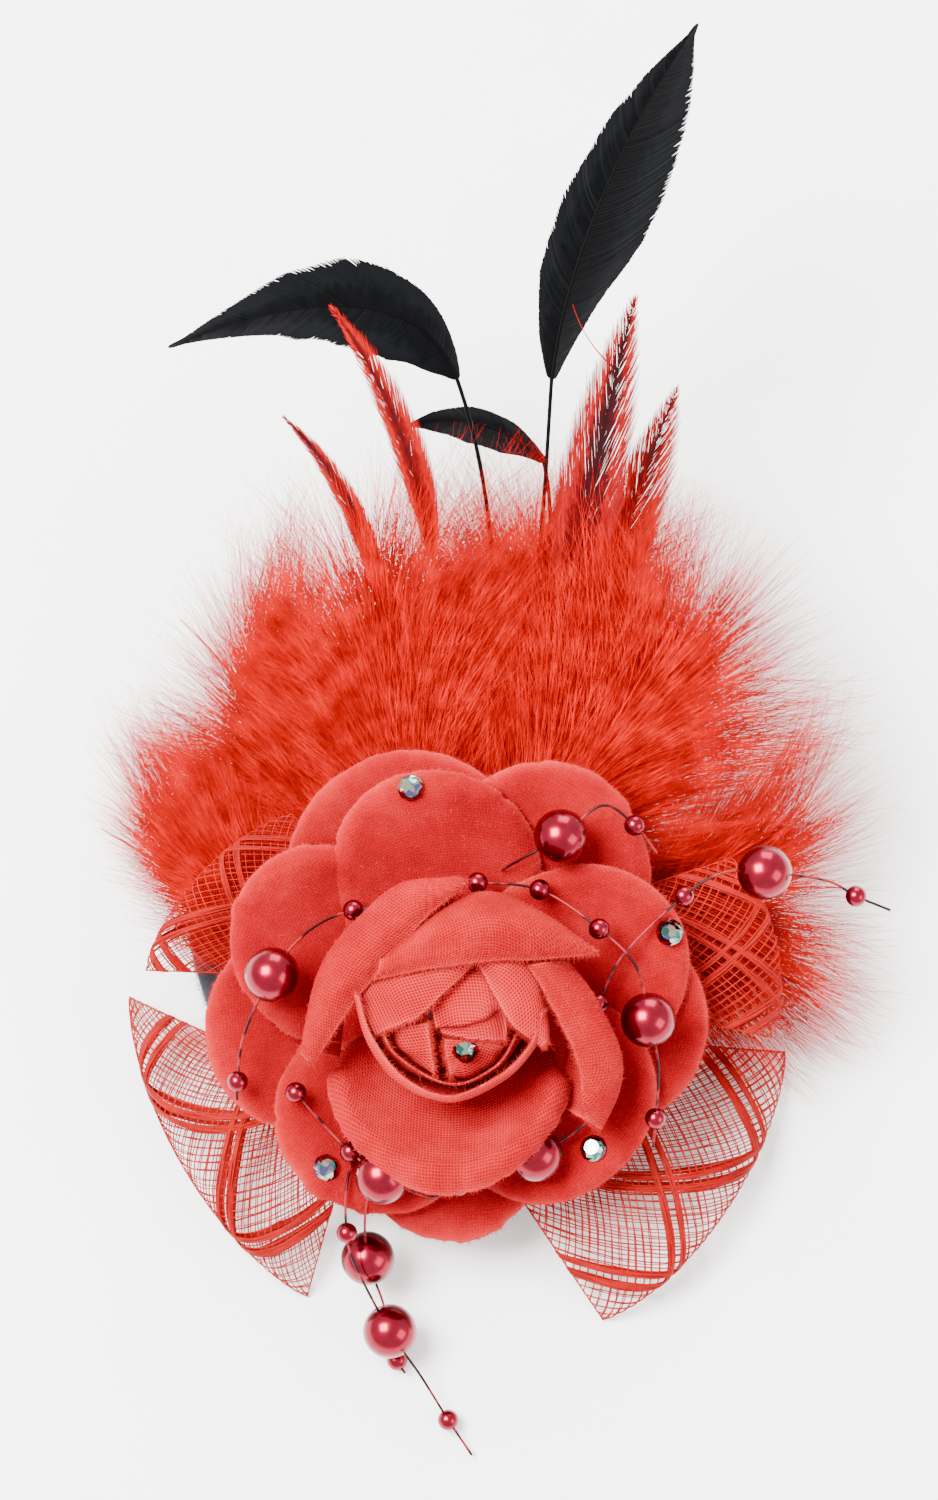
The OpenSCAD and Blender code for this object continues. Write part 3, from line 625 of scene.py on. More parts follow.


# The lighter, cooler grey stops are painted sheen on the black barbs.
black_vane_painted_sheen = vane_finish(
    "black_vane_painted_sheen", 0.42, (0.0006, 0.0006, 0.0008), (0.001, 0.0011, 0.0014), (0.0025, 0.0027, 0.0034),
    specular_ior_level=0.035, sheen_weight=0.008, sheen_roughness=0.3,
)
feather(
    "feather_tall_vane", "feather_tall",
    [(3, 11, -12.2), (13, 50, -12.2), (13.4, 78, -8), (14.4, 92.5, -4)],
    [(14.4, 92.5, -4), (16.2, 108, -1.5), (23.5, 126, 2), (34.8, 142.4, 4)],
    [(0, 0.6), (0.12, 2.8), (0.3, 5.0), (0.5, 5.4), (0.75, 3.8), (0.93, 1.3), (1, 0.2), (1.03, 0.1)],
    [(0, 0.6), (0.12, 2.6), (0.3, 5.4), (0.45, 8.0), (0.62, 8.4), (0.8, 6.6), (0.93, 3.2), (1, 0.6),
        (1.03, 0.1)],
    black_vane_painted_sheen, "black_feather", splits=((0.42, 0.012), (0.66, 0.014), (0.82, 0.012)), cup=0.8, seed=5,
)
feather(
    "feather_left_vane", "feather_left",
    [(-1, 10, -12.7), (9, 44, -12.7), (7, 74, -9), (0.2, 92.5, -4)],
    [(0.2, 92.5, -4), (-4, 103, -2), (-16, 107, 1), (-41, 96.9, 2)],
    [(0, 0.5), (0.15, 4.4), (0.35, 6.6), (0.55, 6.6), (0.72, 4.6), (0.78, 3.4), (0.9, 1.8), (1, 0.2),
        (1.03, 0.1)],
    [(0, 0.5), (0.15, 2.2), (0.35, 5.0), (0.5, 6.4), (0.6, 7.0), (0.75, 5.2), (0.9, 2.2), (1, 0.2),
        (1.03, 0.1)],
    black_vane_painted_sheen, "black_feather", splits=((0.7, 0.02), (0.58, 0.012)), cup=-0.8, seed=6,
)
feather(
    "feather_middle_vane", "feather_middle",
    [(5, 10, -12.4), (14, 46, -12.2), (16, 70, -12.2), (13.3, 80.7, -12.2)],
    [(13.3, 80.7, -12.2), (8, 86, -12.2), (1, 88, -12.2), (-7, 86, -12)],
    [(0, 0.4), (0.3, 3.0), (0.6, 3.2), (0.85, 1.6), (1, 0.2), (1.03, 0.1)],
    [(0, 0.4), (0.3, 2.0), (0.6, 2.4), (0.85, 1.4), (1, 0.2), (1.03, 0.1)],
    black_vane_painted_sheen, "black_feather", seed=7,
)
feather(
    "feather_right_vane", "feather_right",
    [(7, 10, -13.1), (11, 28, -13.1), (13.4, 42, -13.1), (15, 54, -13.1)],
    [(15, 54, -13.1), (15.8, 62, -13.1), (16.7, 69, -13.1), (18.5, 78, -13.1)],
    [(0, 0.5), (0.3, 3.6), (0.6, 4.2), (0.85, 2.4), (1, 0.2), (1.03, 0.1)],
    [(0, 0.5), (0.3, 3.4), (0.6, 4.0), (0.85, 2.0), (1, 0.2), (1.03, 0.1)],
    black_vane_painted_sheen, "black_feather", seed=8,
)

# ---- Hackles ----
# Narrow cock hackles dyed red over a naturally dark middle, set into the down. Their barbs are fine,
# separate and swept towards the tip, so the edges are a loose fringe.
red_hackle = vane_finish(
    "red_hackle", 0.5, (0.02, 0.0004, 0.001), (0.11, 0.0008, 0.0016), (0.3, 0.002, 0.002), grain=1500,
    specular_ior_level=0.06,
)
dark_hackle = vane_finish(
    "dark_hackle", 0.5, (0.004, 0.0003, 0.0008), (0.035, 0.0006, 0.0016), (0.24, 0.002, 0.003), grain=1500,
    specular_ior_level=0.06,
)
hackles = {
    "hackle_left": (
        [(-5, 9, -12.2), (-4, 40, -12.2), (-3, 56, -11), (-3.4, 66, -9.6)],
        [(-3.4, 66, -9.6), (-5.4, 78, -5), (-9, 90, -1), (-17.9, 101.8, 2)], 2.0, 3.0, red_hackle, 0.2, ()),
    "hackle_far_left": (
        [(-7.5, 9, -12), (-8, 30, -11.8), (-9, 46, -11.8), (-10.5, 57, -11.8)],
        [(-10.5, 57, -11.8), (-12.5, 68, -11.8), (-17, 79, -11.8), (-25.6, 86.9, -11.8)], 1.6, 1.9,
        dark_hackle,
        0.14, ()),
    "hackle_right": (
        [(0, 8, -11), (9, 34, -10.6), (13, 46, -9.6), (17, 57, -8)],
        [(17, 57, -8), (19.6, 72, -5), (22.6, 88, -2), (26.4, 103, 1)], 5.4, 4.8, dark_hackle, 0.26,
        (([(23.6, 93.6, -1), (21.4, 95.6, -1), (19, 98, -0.6), (17.4, 103, 0)], 0.16),)),
    "hackle_back": (
        [(8, 8, -11.9), (16, 32, -11.5), (19, 46, -11.4), (21.6, 57, -11.4)],
        [(21.6, 57, -11.4), (25.5, 70, -11.3), (29.4, 82, -11.2), (33.3, 91, -11)], 3.6, 4.6, red_hackle,
        0.24, ()),
}
for hackle_number, (hackle_name, one_hackle) in enumerate(hackles.items()):
    quill, rachis, near, far, made, loose, extra = one_hackle
    feather(
        hackle_name + "_vane", hackle_name, quill, rachis,
        [(0, 0.2 * near), (0.25, 0.8 * near), (0.45, near), (0.7, 0.8 * near), (0.9, 0.4 * near),
            (1, 0.1 * near),
         (1.03, 0.05)],
        [(0, 0.2 * far), (0.25, 0.8 * far), (0.45, far), (0.7, 0.8 * far), (0.9, 0.4 * far), (1, 0.1 * far),
         (1.03, 0.05)],
        made, "red_hackle", gap=0.09, slant=4.2, loose=loose, width=0.1, seed=20 + hackle_number, shaft=0.17,
        extra=extra,
    )

# ---- Rose petals ----
# Petals stamped from brushed peach-skin cloth and curled over heat, in three whorls, and a tight bud
# of bare satin in the middle. Each overlaps the next, rims roll back, and the cut edges fuzz. A lighter
# sheen along every rim is painted into the colour.


def whorl_line(stations, steps=240):
    """A whorl's profile as smooth (length, radius, height) rows."""
    corners = np.array(stations, float)
    gone = np.concatenate([[0], np.cumsum(np.linalg.norm(np.diff(corners, axis=0), axis=1))])
    fine = np.linspace(0, gone[-1], steps)
    radius, height = np.interp(fine, gone, corners[:, 0]), np.interp(fine, gone, corners[:, 1])
    soften = np.ones(25) / 25
    padded = [
        np.concatenate([
            np.linspace(2 * line[0] - line[12], line[0], 12, endpoint=False),
            line,
            np.linspace(line[-1], 2 * line[-1] - line[-13], 13)[1:],
        ])
        for line in (radius, height)
    ]
    return np.stack([fine, *(np.convolve(line, soften, "valid") for line in padded)], axis=1)


def rim_line(half, long, widest, point, count=132):
    """The flat outline of a petal, its root at zero, as evenly spaced points in millimetres."""
    t = np.linspace(0, 1, 90)
    rising = 0.4 + 0.6 * np.sin(np.pi / 2 * np.clip(t / widest, 0, 1))
    past = np.clip((t - widest) / (1 - widest), 0, 1)
    closing = (1 - past ** point) ** (1 / point) if point >= 2 else 1 - past ** (point * 1.15)
    wide = half * np.where(t < widest, rising, np.maximum(closing, 0))
    edge = np.concatenate([
        np.stack([-wide, t * long], axis=1), np.stack([wide, t * long], axis=1)[::-1], [[-wide[0], 0]]
    ])
    gone = np.concatenate([[0], np.cumsum(np.linalg.norm(np.diff(edge, axis=0), axis=1))])
    fine = np.linspace(0, gone[-1], count, endpoint=False)
    return np.stack([np.interp(fine, gone, edge[:, 0]), np.interp(fine, gone, edge[:, 1])], axis=1)


def petal_rings(line, start, end, half, bearing, widest, point, spacing, curl, curl_width, ruffle, ragged,
                seed, rings=44):
    """A petal's middle surface in head millimetres, in rings out to its rim, and its flat points."""
    rng = np.random.default_rng(seed)
    long = end - start
    rim = rim_line(half, long, widest, point)
    count = len(rim)
    around = np.linspace(0, 2 * np.pi, count, endpoint=False)
    waves = (3, 5, 8, 13, 21, 34)
    rough = sum(rng.normal(0, 1) * np.sin(k * around + rng.uniform(0, 6.28)) for k in waves) / 6
    off_middle = rim - [0, long / 2]
    rim = rim + rough[:, None] * ragged * off_middle / (np.linalg.norm(off_middle, axis=1)[:, None])
    middle = np.array([0, long * 0.52])
    share = np.sin(np.pi / 2 * np.linspace(0.0, 1, rings) ** 0.9)[:, None, None]
    share[0] = 0.004
    flat = middle + (rim - middle)[None] * share
    x, y = flat[..., 0], np.clip(flat[..., 1], 0, None)
    at = start + y
    radius, height = np.interp(at, line[:, 0], line[:, 1]), np.interp(at, line[:, 0], line[:, 2])
    ahead = [
        np.interp(at + 0.4, line[:, 0], line[:, k]) - np.interp(at - 0.4, line[:, 0], line[:, k])
        for k in (1, 2)
    ]
    norm = np.hypot(*ahead) + 1e-9
    run_r, run_z = ahead[0] / norm, ahead[1] / norm
    turn = np.degrees(x / np.maximum(np.maximum(radius, half * 0.62), 2.2))
    turn = np.clip(turn, -66, 66)
    up = y / long
    phase = rng.uniform(0, 6.28, 5)
    off = 1.6 * turn / spacing + ruffle * up ** 2 * (
        np.sin(2.2 * x / half + phase[0]) * np.sin(2.2 * up + phase[1])
        + 0.5 * np.sin(4.6 * x / half + 3 * up + phase[2])
        + 0.25 * np.sin(9 * x / half + phase[3])
    )
    out = radius - off * run_z
    height = height + off * run_r
    angle = np.radians(bearing + turn)
    grid = np.stack([out * np.cos(angle), out * np.sin(angle), height], axis=-1)
    step = np.linalg.norm(np.diff(grid, axis=0), axis=2)
    to_rim = np.concatenate([np.cumsum(step[::-1], axis=0)[::-1], np.zeros((1, count))])
    first = np.argmax(to_rim < curl_width, axis=0)
    columns = np.arange(count)
    hold = grid[first, columns]
    tangent = hold - grid[np.maximum(first - 2, 0), columns]
    tangent /= np.linalg.norm(tangent, axis=1, keepdims=True) + 1e-9
    around_way = np.roll(hold, -1, axis=0) - np.roll(hold, 1, axis=0)
    normal = np.cross(around_way, tangent)
    normal /= np.linalg.norm(normal, axis=1, keepdims=True) + 1e-9
    inward = np.stack([-run_z * np.cos(angle), -run_z * np.sin(angle), run_r], axis=-1)[first, columns]
    normal *= np.sign((normal * inward).sum(axis=1, keepdims=True) + 1e-9)
    root_fade = np.clip((rim[:, 1] / long - 0.25) / 0.3, 0, 1)
    most = np.radians(curl) * root_fade * (1 + 0.25 * np.sin(3 * around + phase[4]))
    past = np.clip(1 - to_rim / curl_width, 0, 1)
    bend = past * most + 1e-6
    bow = curl_width / (most + 1e-6)
    rolled = (hold[None] + tangent[None] * (bow * np.sin(bend))[..., None]
              - normal[None] * (bow * (1 - np.cos(bend)))[..., None])
    grid = np.where((past > 0)[..., None] & (most > 0.02)[None, :, None], rolled, grid)
    return grid, flat, share[..., 0] + 0 * x


def petal_mesh(name, grid, flat, share, thickness, made, slot):
    """A closed sheet of cloth round a petal's middle surface, with the cloth's own grain as its map."""
    rings, count = grid.shape[:2]
    around_way = np.roll(grid, -1, axis=1) - np.roll(grid, 1, axis=1)
    outward = np.gradient(grid, axis=0)
    normal = np.cross(outward, around_way)
    normal /= np.linalg.norm(normal, axis=2, keepdims=True) + 1e-12
    normal[0] = normal[1:4].mean(axis=(0, 1))
    normal[0] /= np.linalg.norm(normal[0, 0])
    top, low = (grid + normal * thickness / 2).reshape(-1, 3), (grid - normal * thickness / 2).reshape(-1, 3)
    upper = lathe_faces(rings, count)
    size = rings * count
    last = np.arange(size - count, size)
    after = np.roll(last, -1)
    wall = np.stack([last, last + size, after + size, after], axis=-1)
    piece = mesh_piece(
        name, head(np.concatenate([top, low])), np.concatenate([upper, upper[:, ::-1] + size, wall]),
        made, slot
    )
    # Mask for the painted lighter sheen along the petal's rim.
    paint(piece, "painted_rim_sheen", np.tile(share.ravel(), 2))
    cloth_map = piece.data.uv_layers.new(name="cloth")
    corners = np.empty(len(piece.data.loops), dtype=np.int32)
    piece.data.loops.foreach_get("vertex_index", corners)
    cloth_map.data.foreach_set("uv", np.tile(flat.reshape(-1, 2), (2, 1))[corners].astype(np.float32).ravel())
    return piece


def ring_area(grid):
    u = np.diff(grid, axis=0)
    v = (np.roll(grid, -1, axis=1) - grid)
    near_half = np.linalg.norm(np.cross(u, v[:-1]), axis=2)
    far_half = np.linalg.norm(np.cross(u, v[1:]), axis=2)
    return (near_half + far_half).sum() / 2


def spline(route, steps=16):
    """A smooth route through every stated point or row of points, steps stations to each stretch."""
    route = np.asarray(route, float)
    last = len(route) - 1
    where = np.linspace(0, last, steps * last + 1)
    stretch = np.minimum(where.astype(int), last - 1)
    f = (where - stretch).reshape(-1, *[1] * (route.ndim - 1))
    a, b = route[np.maximum(stretch - 1, 0)], route[stretch]
    c, d = route[stretch + 1], route[np.minimum(stretch + 2, last)]
    square, cubic = 2 * a - 5 * b + 4 * c - d, 3 * b - a - 3 * c + d
    return 0.5 * (2 * b + (c - a) * f + square * f ** 2 + cubic * f ** 3)


def fold_mesh(name, rows, thickness, made, slot, seed):
    """A folded petal, laid smoothly over rows of points in head millimetres. Gives its middle surface too."""
    rng = np.random.default_rng(seed)
    lines = np.stack([spline(row, 60 // (len(row) - 1)) for row in rows])
    grid = spline(lines, 36 // (len(rows) - 1))
    deep, wide = grid.shape[:2]
    normal = np.cross(np.gradient(grid, axis=0), np.gradient(grid, axis=1))
    normal /= np.linalg.norm(normal, axis=2, keepdims=True) + 1e-12
    i, j = np.meshgrid(np.linspace(0, 1, deep), np.linspace(0, 1, wide), indexing="ij")
    phase = rng.uniform(0, 6.28, 4)
    waviness = 0.16 * np.sin(7 * j + 4 * i + phase[0]) + 0.08 * np.sin(17 * j - 5 * i + phase[1])
    grid = grid + normal * waviness[..., None]
    frayed = rng.normal(0, 0.06, (wide, 1)) + 0.12 * np.sin(31 * j[0] + phase[2])[:, None]
    grid[-1] += frayed * (grid[-1] - grid[-3])
    along_i = np.cumsum(np.linalg.norm(np.diff(grid, axis=0), axis=2), axis=0)
    gone_i = np.concatenate([np.zeros((1, wide)), along_i])
    along_j = np.cumsum(np.linalg.norm(np.diff(grid, axis=1), axis=2), axis=1)
    gone_j = np.concatenate([np.zeros((deep, 1)), along_j], 1)
    to_edge = np.minimum(gone_i[-1:] - gone_i, np.minimum(gone_j, gone_j[:, -1:] - gone_j))
    # Near each edge this share rises to 1; it drives the painted lighter sheen along the rims.
    share = np.clip(1 - to_edge / 8, 0, 1)
    top, low = (grid + normal * thickness / 2).reshape(-1, 3), (grid - normal * thickness / 2).reshape(-1, 3)
    index = np.arange(deep * wide).reshape(deep, wide)
    upper = lathe_faces(deep, wide, closed=False)
    rim = np.concatenate([index[0], index[1:, -1], index[-1, -2::-1], index[-2:0:-1, 0]])
    after = np.roll(rim, -1)
    size = deep * wide
    wall = np.stack([rim, rim + size, after + size, after], axis=-1)
    piece = mesh_piece(
        name, head(np.concatenate([top, low])), np.concatenate([upper, upper[:, ::-1] + size, wall]),
        made, slot
    )
    # Mask for the painted lighter sheen along the petal's rim.
    paint(piece, "painted_rim_sheen", np.tile(share.ravel(), 2))
    cloth_map = piece.data.uv_layers.new(name="cloth")
    corners = np.empty(len(piece.data.loops), dtype=np.int32)
    piece.data.loops.foreach_get("vertex_index", corners)
    flat = np.tile(np.stack([gone_j, gone_i], axis=-1).reshape(-1, 2), (2, 1))
    cloth_map.data.foreach_set("uv", flat[corners].astype(np.float32).ravel())
    return piece, grid


def cloth(name, deep, body, rim, weave_share, fuzz, scale=0.7):
    made, shader = finish_of(name, 0.9, sheen_weight=fuzz, sheen_roughness=0.35, specular_ior_level=0.05)
    shader.inputs["Sheen Tint"].default_value = (1.0, 0.04, 0.035, 1)
    patch = add(made, "TexNoise", Vector=place(made), Scale=120, Detail=4, Roughness=0.6)
    pile = add(made, "TexNoise", Vector=place(made), Scale=3200, Detail=6, Roughness=0.75)
    grain = add(made, "TexCoord").outputs["UV"]
    warp = add(made, "TexWave", {"bands_direction": "X"}, Vector=grain, Scale=scale, Distortion=0.8, Detail=1)
    weft = add(made, "TexWave", {"bands_direction": "Y"}, Vector=grain, Scale=scale, Distortion=0.8, Detail=1)
    weave = add(made, "Math", {"operation": "MAXIMUM"})
    join(made, warp.outputs["Fac"], weave.inputs[0])
    join(made, weft.outputs["Fac"], weave.inputs[1])
    surface = add(made, "Mix", {"data_type": "FLOAT"})
    surface.inputs[0].default_value = weave_share
    join(made, pile.outputs["Fac"], surface.inputs[2])
    join(made, weave.outputs["Value"], surface.inputs[3])
    tone = add(made, "Mix", {"data_type": "FLOAT"})
    tone.inputs[0].default_value = 0.5
    join(made, patch.outputs["Fac"], tone.inputs[2])
    join(made, surface.outputs[0], tone.inputs[3])
    # Near the rim the colour is pushed to the light rim stop: painted velvet sheen, not a colour of the
    # cloth.
    share = add(made, "Attribute", {"attribute_name": "painted_rim_sheen"})
    edge = add(made, "Math", {"operation": "POWER"})
    join(made, share.outputs["Fac"], edge.inputs[0])
    edge.inputs[1].default_value = 22.0
    both = add(made, "Math", {"operation": "MULTIPLY_ADD"})
    join(made, edge.outputs["Value"], both.inputs[0])
    both.inputs[1].default_value = 0.42
    join(made, tone.outputs[0], both.inputs[2])
    join(made, shades(made, both.outputs["Value"], (0.34, deep), (0.54, body), (0.92, rim)),
         shader.inputs["Base Color"])
    bump = add(made, "Bump", Height=surface.outputs[0], Strength=0.9, Distance=0.00022)
    join(made, bump.outputs["Normal"], shader.inputs["Normal"])
    return made


# The last colour of each cloth is the painted rim sheen; the first two are the cloth's own tones.
brushed_cloth = cloth("brushed_cloth", (0.13, 0.0001, 0.0018), (0.24, 0.0002, 0.0036),
    (0.46, 0.022, 0.024), 0.2, 0.12)
cup_cloth = cloth("cup_cloth", (0.14, 0.0001, 0.002), (0.26, 0.0003, 0.004), (0.48, 0.025, 0.027), 0.5, 0.12)
satin_cloth = cloth("satin_cloth", (0.18, 0.001, 0.003), (0.34, 0.005, 0.009), (0.5, 0.03, 0.033), 0.75, 0.05)
back_line = whorl_line([(4, -3), (8, -3), (14, -2.4), (20, -1), (26, 1), (32, 3), (36, 3.6), (42, 3.0)])
front_line = whorl_line([(4, 0.6), (8, 0.7), (14, 1.6), (20, 3.2), (26, 5.4), (31, 7.4), (34, 8), (40, 7.4)])
cup_line = whorl_line([(4.6, 4.2), (8, 4.8), (12, 6.8), (16, 9.8), (20, 13.4), (23, 16.2), (28, 20)])


def length_to(line, radius):
    return float(np.interp(radius, line[:, 1], line[:, 0]))


petals = {}
for name, line, kind, inner, outer, half, bearing, widest, curl, curl_width in (
    ("petal_back_1", back_line, "open", 4.2, 39.4, 18, 56, 0.62, 60, 3.0),
    ("petal_back_2", back_line, "open", 4.2, 38.4, 20, 110, 0.62, 60, 3.0),
    ("petal_back_3", back_line, "open", 4.2, 37.4, 18, 190, 0.62, 60, 3.0),
    ("petal_back_4", back_line, "open", 4.2, 35.4, 16, 268, 0.62, 60, 3.0),
    ("petal_back_5", back_line, "open", 4.2, 37.6, 18, 352, 0.62, 60, 3.0),
    ("petal_front_1", front_line, "open", 4.2, 34.8, 17, 99, 0.62, 80, 3.4),
    ("petal_front_2", front_line, "open", 4.2, 35.6, 16, 155, 0.62, 80, 3.4),
    ("petal_front_3", front_line, "open", 4.2, 35.0, 17, 236, 0.62, 80, 3.4),
    ("petal_front_4", front_line, "open", 4.2, 35.2, 18, 315, 0.62, 80, 3.4),
    ("petal_front_5", front_line, "open", 4.2, 35.4, 17, 15, 0.62, 80, 3.4),
    ("petal_cup_3", cup_line, "cup", 4.8, 26.2, 22, 268, 0.6, 110, 4.6),
):
    petals[name] = (line, kind, length_to(line, inner), length_to(line, outer), half, bearing, widest,
        2.0, 72,
                    curl, curl_width)
folds = {
    "petal_cup_1": ("cup", [
        [(-12.5, 5, 9), (-4.5, 12.5, 8.5), (4, 14.5, 8.5), (12, 12.5, 9), (18, 6.5, 10)],
        [(-11.8, 6.6, 14.5), (-3.6, 13.8, 15.5), (4.2, 16.4, 15.8), (12.4, 13.6, 15.5), (19.4, 8.6, 15)],
        [(-10.8, 7, 19.6), (-2.4, 11.6, 21.4), (5, 13.2, 22), (13.4, 11.8, 21.2), (20, 8.4, 19)],
        [(-11, 5.4, 20.4), (-2.6, 8.6, 21.8), (4.6, 9.6, 22.4), (12.4, 9, 21.6), (20.1, 8, 19.2)],
        [(-12, 4.2, 19.4), (-3.4, 5.8, 20.6), (3.6, 6.7, 21), (11, 7, 20.4), (19.7, 7.7, 18.8)],
    ]),
    "petal_cup_2": ("cup", [
        [(-17, -8, 8.5), (-15.6, 1, 8.5), (-10, 9.5, 9), (-3.5, 13, 10), (1, 14.5, 11)],
        [(-22, -6.6, 13.6), (-19.6, 4, 14.5), (-14, 12, 14.8), (-7.6, 17.4, 15.4), (-0.2, 18.6, 16.6)],
        [(-21.6, -7.4, 15.8), (-19, 4.4, 17.8), (-13, 12.4, 18.2), (-7, 17.2, 18.6), (1.1, 18.4, 18)],
        [(-20.9, -7.8, 16.4), (-17, 2.4, 19.6), (-11, 9.6, 20), (-5.4, 14.8, 20), (1.5, 18, 18.4)],
        [(-20.2, -7.9, 15.8), (-14.8, 0.2, 18.4), (-9.2, 6.8, 19), (-3.8, 13.2, 19), (1.3, 17.6, 18)],
    ]),
    "petal_cup_4": ("cup", [
        [(11, 8.6, 9), (14, 3, 8.5), (16, -3, 8.5), (16, -9, 8.5), (14, -14, 9)],
        [(16.2, 6.4, 14), (19.8, 1.6, 14), (22.8, -4.6, 14), (23.4, -11, 14), (20.6, -17.6, 14)],
        [(15.2, 6.6, 17.4), (19.4, 1.6, 17.8), (22.4, -4.6, 18), (22.8, -11, 17.6), (20, -17, 16.6)],
        [(12.8, 6.6, 19.4), (16.4, 1.2, 20), (19.2, -4.4, 19.8), (20.4, -10.4, 18.8), (18.8, -16, 17.4)],
        [(10.4, 6.2, 19), (13.6, 1, 19.4), (16.2, -4, 19), (18, -9.4, 18), (18.2, -14.6, 16.8)],
    ]),
    "petal_bud_1": ("bud", [
        [(-15.4, 3, 11), (-12, 8, 11), (-5, 11, 11.5), (2, 11, 12), (6.5, 9.6, 12.5)],
        [(-14.2, 2.2, 16.4), (-10.4, 6.2, 17.6), (-5, 8.4, 18), (0, 8.8, 18.2), (4, 8, 18)],
        [(-12.8, -0.6, 18.6), (-9, 2.2, 19.6), (-5, 4.6, 20), (-1.2, 6, 19.8), (2.9, 6.8, 19.2)],
        [(-11.4, -3.9, 18.8), (-8.2, -2.5, 19.6), (-5.2, -1.2, 19.8), (-1.4, 2.4, 19.6), (2.6, 6.2, 18.6)],
    ]),
    "petal_bud_2": ("bud", [
        [(-10, 0, 9), (-9.4, -4.6, 9), (-6, -8.6, 9), (0, -10.4, 9), (6, -8.6, 9), (9.4, -5, 9),
            (10.6, -1, 9)],
        [(-13.4, 0.8, 15), (-11.8, -5, 15), (-7.6, -10.4, 15), (0, -13, 15), (7, -10.2, 15), (11.6, -5.6, 15),
         (12.8, -1, 15)],
        [(-14.1, 2, 19.4), (-12.5, -4.6, 19.4), (-7.8, -10.8, 19.4), (-0.4, -13.6, 19.2), (6.8, -10.4, 19),
         (11.2, -5.6, 19), (12.8, -0.8, 18.6)],
        [(-13.6, 2, 21), (-11.8, -4.2, 21), (-7.4, -9.8, 21), (-0.6, -12.4, 20.8), (6.4, -9.4, 20.4),
         (10.8, -4.8, 20.2), (12.6, -0.6, 19.8)],
    ]),
    "petal_bud_3": ("bud", [
        [(-9, -1.6, 9.5), (-8, -5, 9.5), (-4.6, -8, 9.5), (0.4, -9.4, 9.5), (5, -7.6, 9.5), (8, -4, 9.5)],
        [(-11.4, -2.4, 15), (-9.8, -6.4, 15), (-5.4, -9.8, 15), (0.6, -11.4, 15), (6.2, -8.8, 15),
            (9.4, -4.6, 15)],
        [(-10.4, -2.8, 18.6), (-8.6, -6.6, 18.8), (-4.8, -9.4, 18.8), (0.6, -10.9, 18.6), (5.8, -8.2, 18.4),
         (8.8, -4.2, 18)],
    ]),
    "petal_bud_4": ("bud", [
        [(6, 9.6, 11), (11.4, 7.4, 11), (13.4, 2, 11), (13.4, -4, 12)],
        [(6, 8.6, 17.4), (11, 6.4, 17.6), (13.2, 1.2, 17.6), (13.4, -4.4, 17.4)],
        [(4.6, 7.6, 19.6), (8.8, 4, 20.2), (11.2, -0.6, 20.2), (13, -5, 19.2)],
        [(3.3, 6.4, 18.8), (5.8, 1.8, 19.6), (8.3, -2.2, 19.6), (12.6, -5.7, 18.8)],
    ]),
    "petal_heart_1": ("bud", [
        [(-4.4, 6, 14), (1, 7.6, 14), (7, 6, 14), (9.4, 1, 14)],
        [(-3.8, 3.4, 17.4), (1.4, 4.6, 17.8), (6.4, 3.6, 17.8), (8.6, 0.2, 17)],
        [(-2.8, -2.5, 17.6), (1.2, -1.8, 18.6), (4.4, -0.8, 18.6), (7.1, 0.1, 17.6)],
        [(-2.4, -2.8, 16.8), (1.6, -2.5, 17.4), (5, -1.6, 17.4), (7.4, -0.6, 16.8)],
        [(-1.8, -3.7, 16.6), (1.8, -4.4, 17.2), (5, -4.7, 17.2), (7.5, -4.9, 16.4)],
    ]),
    "petal_heart_2": ("bud", [
        [(-10, -1.6, 13), (-8.6, -5, 13), (-6, -8, 13), (-3, -10, 13)],
        [(-8.6, -2.8, 17.2), (-7.4, -5.4, 17.4), (-5.4, -7.8, 17.2), (-3, -9.6, 16.6)],
        [(-3.8, -2.1, 18.2), (-3.5, -4.6, 18.4), (-3.2, -7, 18), (-2.6, -9.8, 17)],
    ]),
    "petal_heart_3": ("bud", [
        [(7.4, -5, 13), (6, -8, 13), (3, -9.8, 13), (0, -10.4, 13)],
        [(6.8, -5.6, 15.6), (5.2, -7.8, 16), (2.6, -9.4, 16.2), (0.2, -10.2, 16)],
        [(3.6, -4.9, 16.8), (2.4, -6, 17.4), (1, -7.4, 17.6), (-0.2, -9.6, 17.2)],
        [(-1.4, -4.6, 16.8), (-1.4, -6, 17.2), (-1.2, -7.6, 17.2), (-0.6, -9.8, 16.8)],
    ]),
}
fray_paths, pile_paths = [], []
